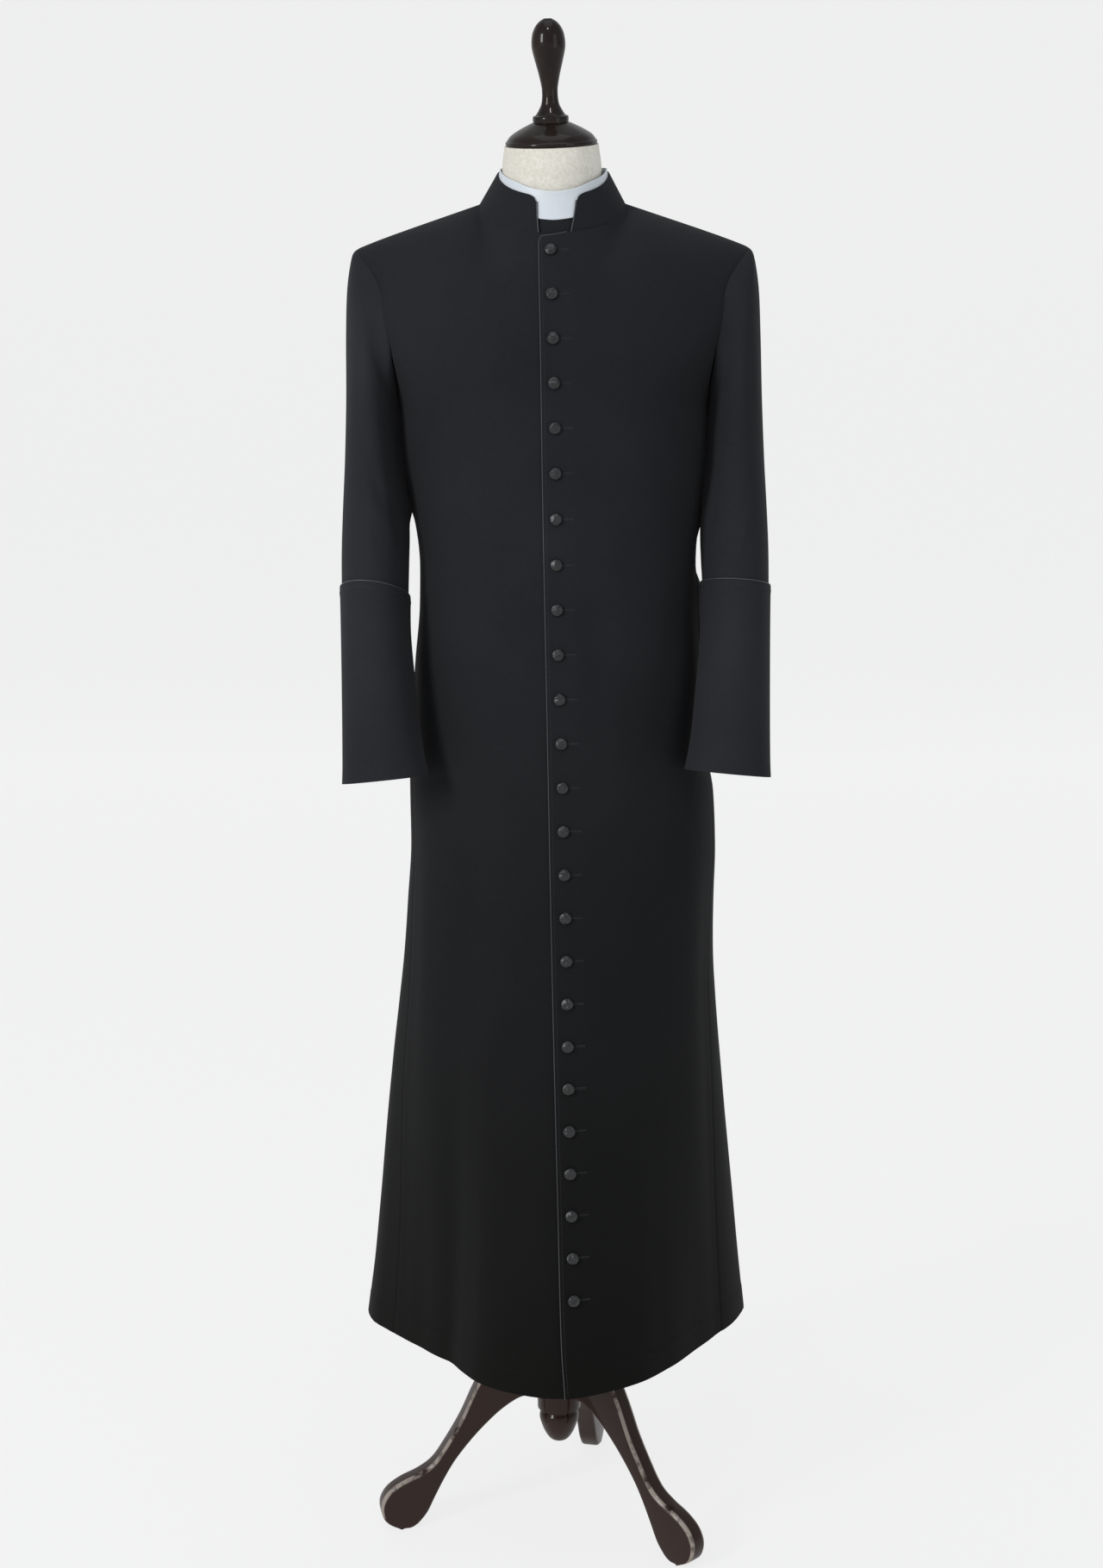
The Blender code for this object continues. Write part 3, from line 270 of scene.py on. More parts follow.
def necklinePoint(angle):
    turn = math.radians(angle)
    forward = math.cos(turn)
    if forward >= 0:
        y = -cassock["neckFront"] * forward
        z = cassock["neckSideHeight"] + (cassock["neckFrontHeight"] - cassock["neckSideHeight"]) * forward
    else:
        y = -cassock["neckBack"] * forward
        z = cassock["neckSideHeight"] + (cassock["neckSideHeight"] - cassock["neckBackHeight"]) * forward
    return Vector((cassock["neckHalfWidth"] * math.sin(turn), y, z))


def topEdgePoint(share, sign):
    if share <= cassock["neckShare"]:
        angle = 90 * share / cassock["neckShare"]
        return necklinePoint(angle if sign < 0 else 180 - angle)
    along = (share - cassock["neckShare"]) / (1 - cassock["neckShare"])
    x = cassock["neckHalfWidth"] + (cassock["shoulderX"] - cassock["neckHalfWidth"]) * along
    drop = cassock["shoulderSlope"] * (x - cassock["neckHalfWidth"])
    drop += cassock["shoulderRound"] * max(along, 0) ** 6
    return Vector((x, 0, cassock["neckSideHeight"] - drop))


def rowOfHeight(z):
    return (z - cassock["hemHeight"]) / (cassock["armpitHeight"] - cassock["hemHeight"])


def shareOfX(x, row):
    middle = panelPoint(0, row, False).x
    probe = 0.05
    return probe * (x - middle) / (panelPoint(probe, row, False).x - middle)


def frontEdgeShare(row):
    return shareOfX(frontEdgeAt(panelPoint(0, row, False).z), row)


def lapLift(share, edge):
    return cassock["lapLift"] * (1 - smoothstep((share - edge - cassock["lapFlat"]) / cassock["lapFall"]))


def onePanelNormal(share, row, behind, folded=True):
    step = 0.002
    lowRow = max(row - step, 0)
    highRow = min(row + step, 2)
    across = panelPoint(share + step, row, behind, folded) - panelPoint(share - step, row, behind, folded)
    up = panelPoint(share, highRow, behind, folded) - panelPoint(share, lowRow, behind, folded)
    outward = across.cross(up).normalized()
    return -outward if behind else outward


def panelNormal(share, row, behind, folded=True):
    # where a front and a back are sewn together, both share one direction
    near = math.copysign(max(abs(share) - 0.004, 0), share)
    sewnSide = abs(share) > 0.999 and row <= 1
    sewnShoulder = abs(share) >= cassock["neckShare"] - 0.001 and row > 1.999
    if not sewnSide and not sewnShoulder:
        return onePanelNormal(near if abs(share) > 0.999 else share, row, behind, folded)
    at = near if sewnSide or abs(share) > 0.999 else share
    return (onePanelNormal(at, row, False, folded) + onePanelNormal(at, row, True, folded)).normalized()


sleeve = {
    "sleeveRings": (
        Ring(0.2425, 1.6150, 0.1897, 1.4270, 0.000, 0.0625, 0.00),
        Ring(0.2482, 1.5800, 0.1896, 1.4130, -0.001, 0.0650, 0.00),
        Ring(0.2508, 1.5250, 0.1890, 1.3930, -0.003, 0.0655, 0.02),
        Ring(0.2530, 1.4500, 0.1868, 1.3610, -0.007, 0.0640, 0.05),
        Ring(0.2560, 1.3750, 0.1823, 1.3230, -0.013, 0.0610, 0.09),
        Ring(0.2590, 1.3150, 0.1785, 1.2870, -0.021, 0.0580, 0.16),
        Ring(0.2608, 1.2640, 0.1790, 1.2500, -0.030, 0.0555, 0.24),
    ),
    "cuffRings": (
        Ring(0.2632, 1.2180, 0.1775, 1.2075, -0.039, 0.0550, 0.34),
        Ring(0.2618, 1.1700, 0.1765, 1.1630, -0.054, 0.0535, 0.30),
        Ring(0.2602, 1.1080, 0.1705, 1.1040, -0.075, 0.0515, 0.26),
        Ring(0.2588, 1.0480, 0.1635, 1.0470, -0.097, 0.0500, 0.22),
        Ring(0.2578, 0.9910, 0.1550, 1.0015, -0.119, 0.0485, 0.13),
    ),
    "cuffLift": 0.0024,
    "sleeveHangs": {1: Hang(0.0003, 0.0055, 0.016), -1: Hang(0.0018, 0.0, 0.0)},
    "hangStart": 1.55,
    "hangSpan": 0.15,
    "sleeveShortShare": 0.07,
    "sleeveStart": 0.0001,
}

collar = {
    "collarHalfWidth": 0.0672,
    "collarMiddle": 0.0012,
    "collarFront": 0.0715,
    "collarBack": 0.0660,
    "collarFrontHeight": 1.6805,
    "collarSideHeight": 1.7130,
    "collarBackHeight": 1.7280,
    "notchLeft": 15.0,
    "notchRight": 12.0,
    "notchSpreadLeft": 8.5,
    "notchSpreadRight": 5.3,
    "collarLift": 0.0001,
    "insertDepth": 0.0023,
    "insertCloth": 0.0010,
    "insertLean": 0.3,
    "tabDepth": 0.0036,
    "tabCloth": 0.0012,
    "tabBottom": -0.10,
    "tabTop": 0.60,
    "insertEdges": (
        Edge(0, 0.39, 1.15),
        Edge(25, 0.42, 1.19),
        Edge(45, 0.42, 1.25),
        Edge(90, 0.40, 1.17),
        Edge(135, 0.40, 1.01),
        Edge(180, 0.40, 0.92),
    ),
}

button = {
    "buttonCount": 25,
    "buttonRadius": 0.0075,
    "buttonGap": 0.0006,
    "buttonLine": (
        Place(1, 1.6165, -0.0028),
        Place(5, 1.4124, 0.0010),
        Place(9, 1.1995, 0.0024),
        Place(13, 0.9905, 0.0074),
        Place(17, 0.7865, 0.0108),
        Place(21, 0.5860, 0.0128),
        Place(25, 0.3854, 0.0169),
    ),
}

piping = {
    "pipingRadius": 0.0009,
    "pipingReach": 0.00125,
}

form = {
    "formBottom": 0.800,
    "formGaps": (
        Gap(0.45, 0.0120),
        Gap(0.70, 0.0090),
        Gap(0.84, 0.0060),
        Gap(1.00, 0.0050),
        Gap(1.50, 0.0035),
        Gap(1.75, 0.0026),
        Gap(2.00, 0.0012),
    ),
    "neckOpenGap": 0.0055,
    "formLean": math.radians(10),
    "formTilt": math.radians(-1.55),
    "capProfile": (
        Turn(0.0000, 0.0540),
        Turn(0.0012, 0.0548),
        Turn(0.0040, 0.0548),
        Turn(0.0054, 0.0534),
        Turn(0.0115, 0.0486),
        Turn(0.0185, 0.0375),
        Turn(0.0255, 0.0230),
    ),
    "finialProfile": (
        Turn(0.0258, 0.0212),
        Turn(0.0325, 0.0212),
        Turn(0.0345, 0.0178),
        Turn(0.0392, 0.0146),
        Turn(0.0461, 0.0110),
        Turn(0.0530, 0.0097),
        Turn(0.0600, 0.0094),
        Turn(0.0670, 0.0099),
        Turn(0.0805, 0.0126),
        Turn(0.0941, 0.0161),
        Turn(0.1077, 0.0194),
        Turn(0.1150, 0.0201),
        Turn(0.1213, 0.0197),
        Turn(0.1280, 0.0183),
        Turn(0.1348, 0.0150),
        Turn(0.1400, 0.0104),
        Turn(0.1436, 0.0045),
    ),
    "neckRings": (Turn(1.6950, 0.0605), Turn(1.7200, 0.0594), Turn(1.7449, 0.0562)),
    "neckLeanStart": 1.690,
    "neckMiddleLow": -0.002,
    "neckMiddleTop": -0.010,
    "neckSide": -0.0008,
    "neckFootHeight": 0.10,
    "neckFootDepth": 0.012,
}

stand = {
    "hubProfile": (
        Turn(0.0985, 0.0045),
        Turn(0.1010, 0.0108),
        Turn(0.1065, 0.0158),
        Turn(0.1150, 0.0204),
        Turn(0.1240, 0.0237),
        Turn(0.1310, 0.0254),
        Turn(0.1365, 0.0250),
        Turn(0.1405, 0.0228),
        Turn(0.1430, 0.0222),
        Turn(0.1455, 0.0242),
        Turn(0.1490, 0.0272),
        Turn(0.1540, 0.0280),
        Turn(0.2620, 0.0280),
        Turn(0.2700, 0.0210),
    ),
    "poleRadius": 0.0200,
    "legStations": (
        Station(0.0000, 0.2560, 0.0000, 0.1660),
        Station(0.0340, 0.2490, 0.0230, 0.1660),
        Station(0.0660, 0.2130, 0.0470, 0.1530),
        Station(0.0840, 0.1830, 0.0690, 0.1345),
        Station(0.1020, 0.1450, 0.0905, 0.1125),
        Station(0.1225, 0.1110, 0.1115, 0.0865),
        Station(0.1395, 0.0875, 0.1265, 0.0620),
        Station(0.1585, 0.0745, 0.1385, 0.0390),
        Station(0.1820, 0.0645, 0.1480, 0.0200),
        Station(0.1990, 0.0530, 0.1575, 0.0080),
        Station(0.2080, 0.0385, 0.1640, 0.0025),
        Station(0.2085, 0.0240, 0.1700, 0.0000),
        Station(0.2020, 0.0100, 0.1750, 0.0000),
        Station(0.1850, 0.0000, 0.1800, 0.0000),
    ),
    "legStart": 0.0284,
    "legThickness": 0.025,
    "legAzimuths": (("leg_right", -78.5), ("leg_left", 47.0), ("leg_back", 167.0)),
}


def collarPoint(angle, height, depth=0.0):
    turn = math.radians(angle)
    forward = math.cos(turn)
    base = necklinePoint(angle)
    front = forward >= 0
    y = -(collar["collarFront"] if front else collar["collarBack"]) * forward
    endHeight = collar["collarFrontHeight"] if front else collar["collarBackHeight"]
    z = collar["collarSideHeight"] + (endHeight - collar["collarSideHeight"]) * abs(forward)
    top = Vector((collar["collarMiddle"] + collar["collarHalfWidth"] * math.sin(turn), y, z))
    outward = Vector((math.sin(turn), -forward, 0.35)).normalized()
    if height > 1:
        rise = (top - base) * Vector((collar["insertLean"], collar["insertLean"], 1))
        return top + rise * (height - 1) - outward * depth
    return base.lerp(top, height) - outward * depth


def formPoint(share, row, behind):
    point = panelPoint(share, row, behind, False)
    normal = panelNormal(share, row, behind, False)
    gap = formGapAt(row)
    if abs(share) < cassock["neckShare"] and row > 1.5:
        openNeck = 1 - abs(share) / cassock["neckShare"]
        gap += form["neckOpenGap"] * smoothstep(openNeck * 2) * smoothstep((row - 1.5) / 0.5)
    return point - normal * (cassock["cloth"] + gap)


def neckRing(ring, count):
    leanHeight = form["neckRings"][-1].along - form["neckLeanStart"]
    lean = smoothstep((ring.along - form["neckLeanStart"]) / leanHeight)
    middle = form["neckMiddleLow"] + (form["neckMiddleTop"] - form["neckMiddleLow"]) * lean
    points = []
    for i in range(count):
        turn = 2 * math.pi * i / count
        y = -ring.radius * math.cos(turn)
        x = ring.radius * math.sin(turn)
        rise = y * math.tan(form["formLean"]) - x * math.tan(form["formTilt"])
        points.append(Vector((x + form["neckSide"] * lean, middle + y, ring.along + rise * lean)))
    return points

print("sizes ready")


def shadeSmooth(mesh, angle=50):
    mesh.polygons.foreach_set("use_smooth", [True] * len(mesh.polygons))
    mesh.set_sharp_from_angle(angle=math.radians(angle))


def newPiece(name, mesh, *materials):
    for material in materials:
        mesh.materials.append(material)
    piece = bpy.data.objects.new(name, mesh)
    bpy.context.scene.collection.objects.link(piece)
    return piece


def setPiece(piece, node=None):
    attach(piece, "root")
    if node:
        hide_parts(node)
    return piece


def closedMesh(name, points, faces, angle=50, weave=None):
    mesh = bpy.data.meshes.new(name)
    mesh.from_pydata([tuple(point) for point in points], [], [tuple(face) for face in faces])
    if weave is not None:
        layer = mesh.uv_layers.new(name="weave")  # threads follow the cloth, in metres
        corners = np.empty(len(mesh.loops), np.int32)
        mesh.loops.foreach_get("vertex_index", corners)
        layer.data.foreach_set("uv", np.asarray(weave, np.float32)[corners].ravel())
    work = bmesh.new()
    work.from_mesh(mesh)
    bmesh.ops.remove_doubles(work, verts=work.verts, dist=0.000005)
    bmesh.ops.recalc_face_normals(work, faces=work.faces)
    work.to_mesh(mesh)
    work.free()
    shadeSmooth(mesh, angle)
    return mesh


def gridNormals(grid, around, outwardFrom):
    across = np.roll(grid, -1, 1) - np.roll(grid, 1, 1)
    if not around:
        across[:, 0] = grid[:, 1] - grid[:, 0]
        across[:, -1] = grid[:, -1] - grid[:, -2]
    up = np.empty_like(grid)
    up[1:-1] = grid[2:] - grid[:-2]
    up[0] = grid[1] - grid[0]
    up[-1] = grid[-1] - grid[-2]
    normals = np.cross(across, up)
    normals /= np.maximum(np.linalg.norm(normals, axis=2, keepdims=True), 1e-12)
    if ((grid - outwardFrom) * normals).sum() < 0:
        normals = -normals
    return normals


def threadMap(grid):
    steps = np.linalg.norm(np.diff(grid, axis=1), axis=2)
    across = np.concatenate([np.zeros((len(grid), 1)), np.cumsum(steps, axis=1)], axis=1)
    rises = np.linalg.norm(np.diff(grid, axis=0), axis=2).mean(axis=1)
    up = np.concatenate([[0], np.cumsum(rises)])
    return np.stack([across, np.repeat(up[:, None], grid.shape[1], axis=1)], axis=2)


def shellMesh(name, outer, normals, thickness, around=False, angle=50):
    # a cloth wall: the outer face, the same face moved in, and rims that close it
    rows, columns = outer.shape[:2]
    inner = outer - normals * thickness
    threads = threadMap(outer).reshape(-1, 2)
    points = np.concatenate([outer.reshape(-1, 3), inner.reshape(-1, 3)])
    offset = rows * columns
    j = np.arange(columns if around else columns - 1)
    k = (j + 1) % columns
    i = np.arange(rows - 1)[:, None] * columns
    front = np.stack([i + j, i + k, i + columns + k, i + columns + j], axis=-1).reshape(-1, 4)
    faces = [front, front[:, ::-1] + offset]
    for line in (np.arange(columns), np.arange(columns) + (rows - 1) * columns):
        ends = np.roll(line, -1) if around else line[1:]
        starts = line if around else line[:-1]
        faces.append(np.stack([starts, ends, ends + offset, starts + offset], axis=-1))
    if not around:
        for line in (np.arange(rows) * columns, np.arange(rows) * columns + columns - 1):
            faces.append(np.stack([line[:-1], line[1:], line[1:] + offset, line[:-1] + offset], axis=-1))
    return closedMesh(name, points, np.concatenate(faces), angle, np.concatenate([threads, threads]))


def tubeMesh(name, path, radius, closed=False, sides=10):
    path = [Vector(point) for point in path]
    count = len(path)
    points, faces = [], []
    reference = None
    for i, point in enumerate(path):
        after = path[(i + 1) % count] if closed else path[min(i + 1, count - 1)]
        before = path[i - 1] if closed or i else path[0]
        along = (after - before).normalized()
        if reference is None:
            reference = along.orthogonal()
        reference = (reference - along * reference.dot(along)).normalized()
        across = along.cross(reference)
        for j in range(sides):
            turn = 2 * math.pi * j / sides
            points.append(point + (reference * math.cos(turn) + across * math.sin(turn)) * radius)
    for i in range(count if closed else count - 1):
        k = (i + 1) % count
        shift = 0
        if closed and k == 0:
            shift = min(range(sides), key=lambda s: (points[i * sides] - points[s]).length)
        for j in range(sides):
            near = (i * sides + j, i * sides + (j + 1) % sides)
            far = (k * sides + (j + 1 + shift) % sides, k * sides + (j + shift) % sides)
            faces.append(near + far)
    if not closed:
        faces.append(tuple(range(sides)))
        faces.append(tuple((count - 1) * sides + j for j in reversed(range(sides))))
    return closedMesh(name, points, faces, 80)


def smoothPath(points, steps, closed=False):
    # an even curve through the points
    points = [np.array(point, float) for point in points]
    count = len(points)
    made = []
    for i in range(count if closed else count - 1):
        before = points[i - 1] if closed or i else points[0]
        start, end = points[i], points[(i + 1) % count]
        after = points[(i + 2) % count] if closed or i + 2 < count else end
        for step in range(steps):
            made.append(hermite(start, end, (end - before) / 2, (after - start) / 2, step / steps))
    if not closed:
        made.append(points[-1])
    return made


def turnedMesh(name, profile, segments=64, angle=35):
    # turned wood: a profile of (along, radius) spun about its axis, with closed ends
    points, faces = [], []
    for along, radius in profile:
        for j in range(segments):
            turn = 2 * math.pi * j / segments
            points.append((radius * math.cos(turn), radius * math.sin(turn), along))
    for i in range(len(profile) - 1):
        for j in range(segments):
            k = (j + 1) % segments
            faces.append((i * segments + j, i * segments + k, (i + 1) * segments + k, (i + 1) * segments + j))
    faces.append(tuple(range(segments)))
    faces.append(tuple((len(profile) - 1) * segments + j for j in range(segments)))
    return closedMesh(name, points, faces, angle)



def groupSocket(group, name, kind="NodeSocketFloat", out=False, value=None):
    made = group.interface.new_socket(name=name, in_out="OUTPUT" if out else "INPUT", socket_type=kind)
    if value is not None:
        made.default_value = value
    return made


def mathNode(tree, operation, first, second=None):
    node = tree.nodes.new("ShaderNodeMath")
    node.operation = operation
    for socket, value in zip(node.inputs, (first, second)):
        if value is None:
            continue
        if isinstance(value, (int, float)):
            socket.default_value = value
        else:
            tree.links.new(value, socket)
    return node.outputs[0]


def noiseNode(tree, vector, scale, detail=2.0, roughness=0.5):
    node = tree.nodes.new("ShaderNodeTexNoise")
    node.inputs["Detail"].default_value = detail
    node.inputs["Roughness"].default_value = roughness
    if isinstance(scale, (int, float)):
        node.inputs["Scale"].default_value = scale
    else:
        tree.links.new(scale, node.inputs["Scale"])
    tree.links.new(vector, node.inputs["Vector"])
    return node.outputs["Fac"]


def buildThreads():
    # crossing threads and twill ribs on the piece's own thread map, with slubs and slow shading
    group = bpy.data.node_groups.new("threads", "ShaderNodeTree")
    groupSocket(group, "Map", "NodeSocketVector")
    groupSocket(group, "Place", "NodeSocketVector")
    groupSocket(group, "Threads", value=900.0)
    groupSocket(group, "Twill", value=0.6)
    groupSocket(group, "Fleck", value=0.35)
    groupSocket(group, "Height", out=True)
    groupSocket(group, "Shade", out=True)
    given = group.nodes.new("NodeGroupInput")
    result = group.nodes.new("NodeGroupOutput")
    split = group.nodes.new("ShaderNodeSeparateXYZ")
    group.links.new(given.outputs["Map"], split.inputs[0])
    across = mathNode(group, "MULTIPLY", split.outputs[0], given.outputs["Threads"])
    along = mathNode(group, "MULTIPLY", split.outputs[1], given.outputs["Threads"])
    turn = 2 * math.pi
    diagonal = mathNode(group, "ADD", across, along)
    ribs = mathNode(group, "SINE", mathNode(group, "MULTIPLY", diagonal, turn * 0.5))
    warp = mathNode(group, "SINE", mathNode(group, "MULTIPLY", across, turn))
    weft = mathNode(group, "SINE", mathNode(group, "MULTIPLY", along, turn))
    plain = mathNode(group, "MULTIPLY", warp, weft)
    twill = mathNode(group, "MULTIPLY", ribs, given.outputs["Twill"])
    weave = mathNode(group, "ADD", mathNode(group, "MULTIPLY", plain, 0.5), twill)
    slub = noiseNode(group, given.outputs["Place"], 260.0, 3.0, 0.6)
    height = mathNode(group, "ADD", mathNode(group, "MULTIPLY", weave, 0.35), slub)
    group.links.new(height, result.inputs["Height"])
    slow = noiseNode(group, given.outputs["Place"], 5.0, 4.0, 0.55)
    fleck = mathNode(group, "MULTIPLY", mathNode(group, "SUBTRACT", slub, 0.5), given.outputs["Fleck"])
    group.links.new(mathNode(group, "ADD", slow, fleck), result.inputs["Shade"])
    return group


def buildGrain():
    # wood grain along the piece's Z, with pores
    group = bpy.data.node_groups.new("grain", "ShaderNodeTree")
    groupSocket(group, "Place", "NodeSocketVector")
    groupSocket(group, "Height", out=True)
    groupSocket(group, "Shade", out=True)
    given = group.nodes.new("NodeGroupInput")
    result = group.nodes.new("NodeGroupOutput")
    stretch = group.nodes.new("ShaderNodeMapping")
    stretch.inputs["Scale"].default_value = (1.0, 1.0, 0.12)
    group.links.new(given.outputs["Place"], stretch.inputs["Vector"])
    broad = noiseNode(group, stretch.outputs[0], 60.0, 4.0, 0.55)
    fine = noiseNode(group, stretch.outputs[0], 420.0, 2.0, 0.5)
    group.links.new(fine, result.inputs["Height"])
    broadPart = mathNode(group, "MULTIPLY", broad, 0.75)
    mixed = mathNode(group, "ADD", broadPart, mathNode(group, "MULTIPLY", fine, 0.25))
    group.links.new(mixed, result.inputs["Shade"])
    return group


threads = buildThreads()
grain = buildGrain()


def newMaterial(name, roughness, **sockets):
    material = bpy.data.materials.new(name)
    material.use_nodes = True
    shader = material.node_tree.nodes["Principled BSDF"]
    shader.inputs["Roughness"].default_value = roughness
    for socket, value in sockets.items():
        shader.inputs[socket.replace("_", " ")].default_value = value
    return material, material.node_tree, shader


def mixColours(tree, factor, dark, light):
    ramp = tree.nodes.new("ShaderNodeMix")
    ramp.data_type = "RGBA"
    tree.links.new(factor, ramp.inputs["Factor"])
    for socket, colour in (("A", dark), ("B", light)):
        target = [s for s in ramp.inputs if s.name == socket and s.type == "RGBA"][0]
        if isinstance(colour, tuple):
            target.default_value = (*colour, 1)
        else:
            tree.links.new(colour, target)
    return [s for s in ramp.outputs if s.type == "RGBA"][0]


def contrast(tree, value, low, high):
    node = tree.nodes.new("ShaderNodeMapRange")
    node.inputs["From Min"].default_value = low
    node.inputs["From Max"].default_value = high
    tree.links.new(value, node.inputs["Value"])
    return node.outputs["Result"]


def bumped(tree, shader, height, strength, distance):
    bump = tree.nodes.new("ShaderNodeBump")
    bump.inputs["Strength"].default_value = strength
    bump.inputs["Distance"].default_value = distance
    tree.links.new(height, bump.inputs["Height"])
    tree.links.new(bump.outputs["Normal"], shader.inputs["Normal"])


def clothMaterial(name, dark, light, roughness, threadCount, twill, relief, low=None, fleck=0.35, **sockets):
    material, tree, shader = newMaterial(name, roughness, **sockets)
    place = tree.nodes.new("ShaderNodeTexCoord")
    weave = tree.nodes.new("ShaderNodeGroup")
    weave.node_tree = threads
    weave.inputs["Threads"].default_value = threadCount
    weave.inputs["Twill"].default_value = twill
    weave.inputs["Fleck"].default_value = fleck
    tree.links.new(place.outputs["UV"], weave.inputs["Map"])
    tree.links.new(place.outputs["Object"], weave.inputs["Place"])
    shade = contrast(tree, weave.outputs["Shade"], 0.3, 0.75)
    colour = mixColours(tree, shade, dark, light)
    if low:
        # painted shade: darker and browner towards the hem, where less light falls
        split = tree.nodes.new("ShaderNodeSeparateXYZ")
        tree.links.new(place.outputs["Object"], split.inputs[0])
        colour = mixColours(tree, contrast(tree, split.outputs["Z"], 0.22, 1.25), low, colour)
    tree.links.new(colour, shader.inputs["Base Color"])
    bumped(tree, shader, weave.outputs["Height"], relief, 0.0003)
    return material


def woodMaterial(name, dark, light, low, roughness, **sockets):
    material, tree, shader = newMaterial(name, roughness, **sockets)
    place = tree.nodes.new("ShaderNodeTexCoord")
    pores = tree.nodes.new("ShaderNodeGroup")
    pores.node_tree = grain
    tree.links.new(place.outputs["Object"], pores.inputs["Place"])
    shade = contrast(tree, pores.outputs["Shade"], 0.35, 0.65)
    colour = mixColours(tree, shade, dark, light)
    # the polish is redder and lighter on the stand
    split = tree.nodes.new("ShaderNodeSeparateXYZ")
    tree.links.new(place.outputs["Object"], split.inputs[0])
    colour = mixColours(tree, contrast(tree, split.outputs["Z"], 0.25, 1.3), low, colour)
    # painted highlight and wear: the legs' upper rounded edges are lightened, partly real rubbed wear and
    # partly the highlight the lamps make there
    wearAndHighlight = tree.nodes.new("ShaderNodeAttribute")
    wearAndHighlight.attribute_name = "wearAndHighlight"
    patches = contrast(tree, noiseNode(tree, place.outputs["Object"], 55.0, 4.0, 0.6), 0.36, 0.52)
    rubbedAndLit = mathNode(tree, "MULTIPLY", wearAndHighlight.outputs["Fac"], patches)
    tree.links.new(mixColours(tree, rubbedAndLit, colour, (0.27, 0.23, 0.20)), shader.inputs["Base Color"])
    bumped(tree, shader, pores.outputs["Height"], 0.12, 0.0003)
    return material


# the body wool's low colour is painted shade, darkening it towards the hem
wool = clothMaterial(
    "cassockWool", (0.0098, 0.0103, 0.0121), (0.0139, 0.0145, 0.0167), 0.88, 700.0, 0.8, 0.35,
    low=(0.0034, 0.0033, 0.0026), Sheen_Weight=0.025, Sheen_Roughness=0.5, Specular_IOR_Level=0.08,
)
# painted light: the sleeves get a lighter copy of the body wool, standing in for the brighter light on them
sleeveWoolPaintedLight = clothMaterial(
    "sleeveWoolPaintedLight", (0.0130, 0.0136, 0.0158), (0.0184, 0.0191, 0.0219), 0.88, 700.0, 0.8, 0.35,
    Sheen_Weight=0.025, Sheen_Roughness=0.5, Specular_IOR_Level=0.08,
)
satin = clothMaterial(
    "buttonSatin", (0.0032, 0.0034, 0.0040), (0.0070, 0.0074, 0.0086), 0.36, 1100.0, 0.1, 0.30,
    Specular_IOR_Level=0.5,
)
cord = clothMaterial(
    "pipingCord", (0.0300, 0.0308, 0.0340), (0.0520, 0.0530, 0.0580), 0.50, 1500.0, 1.0, 0.4,
    Specular_IOR_Level=0.3,
)
thread = clothMaterial(
    "buttonholeThread", (0.0190, 0.0195, 0.0220), (0.0330, 0.0338, 0.0375), 0.50, 2500.0, 0.5, 0.3,
    Specular_IOR_Level=0.3,
)
linen = clothMaterial(
    "formLinen", (0.4500, 0.4260, 0.3650), (0.7050, 0.6820, 0.6150), 0.9, 900.0, 0.0, 0.9, fleck=0.5
)
white = clothMaterial(
    "collarWhite", (0.4750, 0.5080, 0.5420), (0.5300, 0.5640, 0.5980), 0.5, 1400.0, 0.0, 0.08
)
wood = woodMaterial(
    "standWood", (0.0050, 0.0026, 0.0019), (0.0135, 0.0072, 0.0050), (0.0215, 0.0090, 0.0062), 0.42,
    Coat_Weight=0.30, Coat_Roughness=0.06,
    Specular_IOR_Level=0.08,
)
print("materials made")


Crease = namedtuple("Crease", "across z length width depth slant")

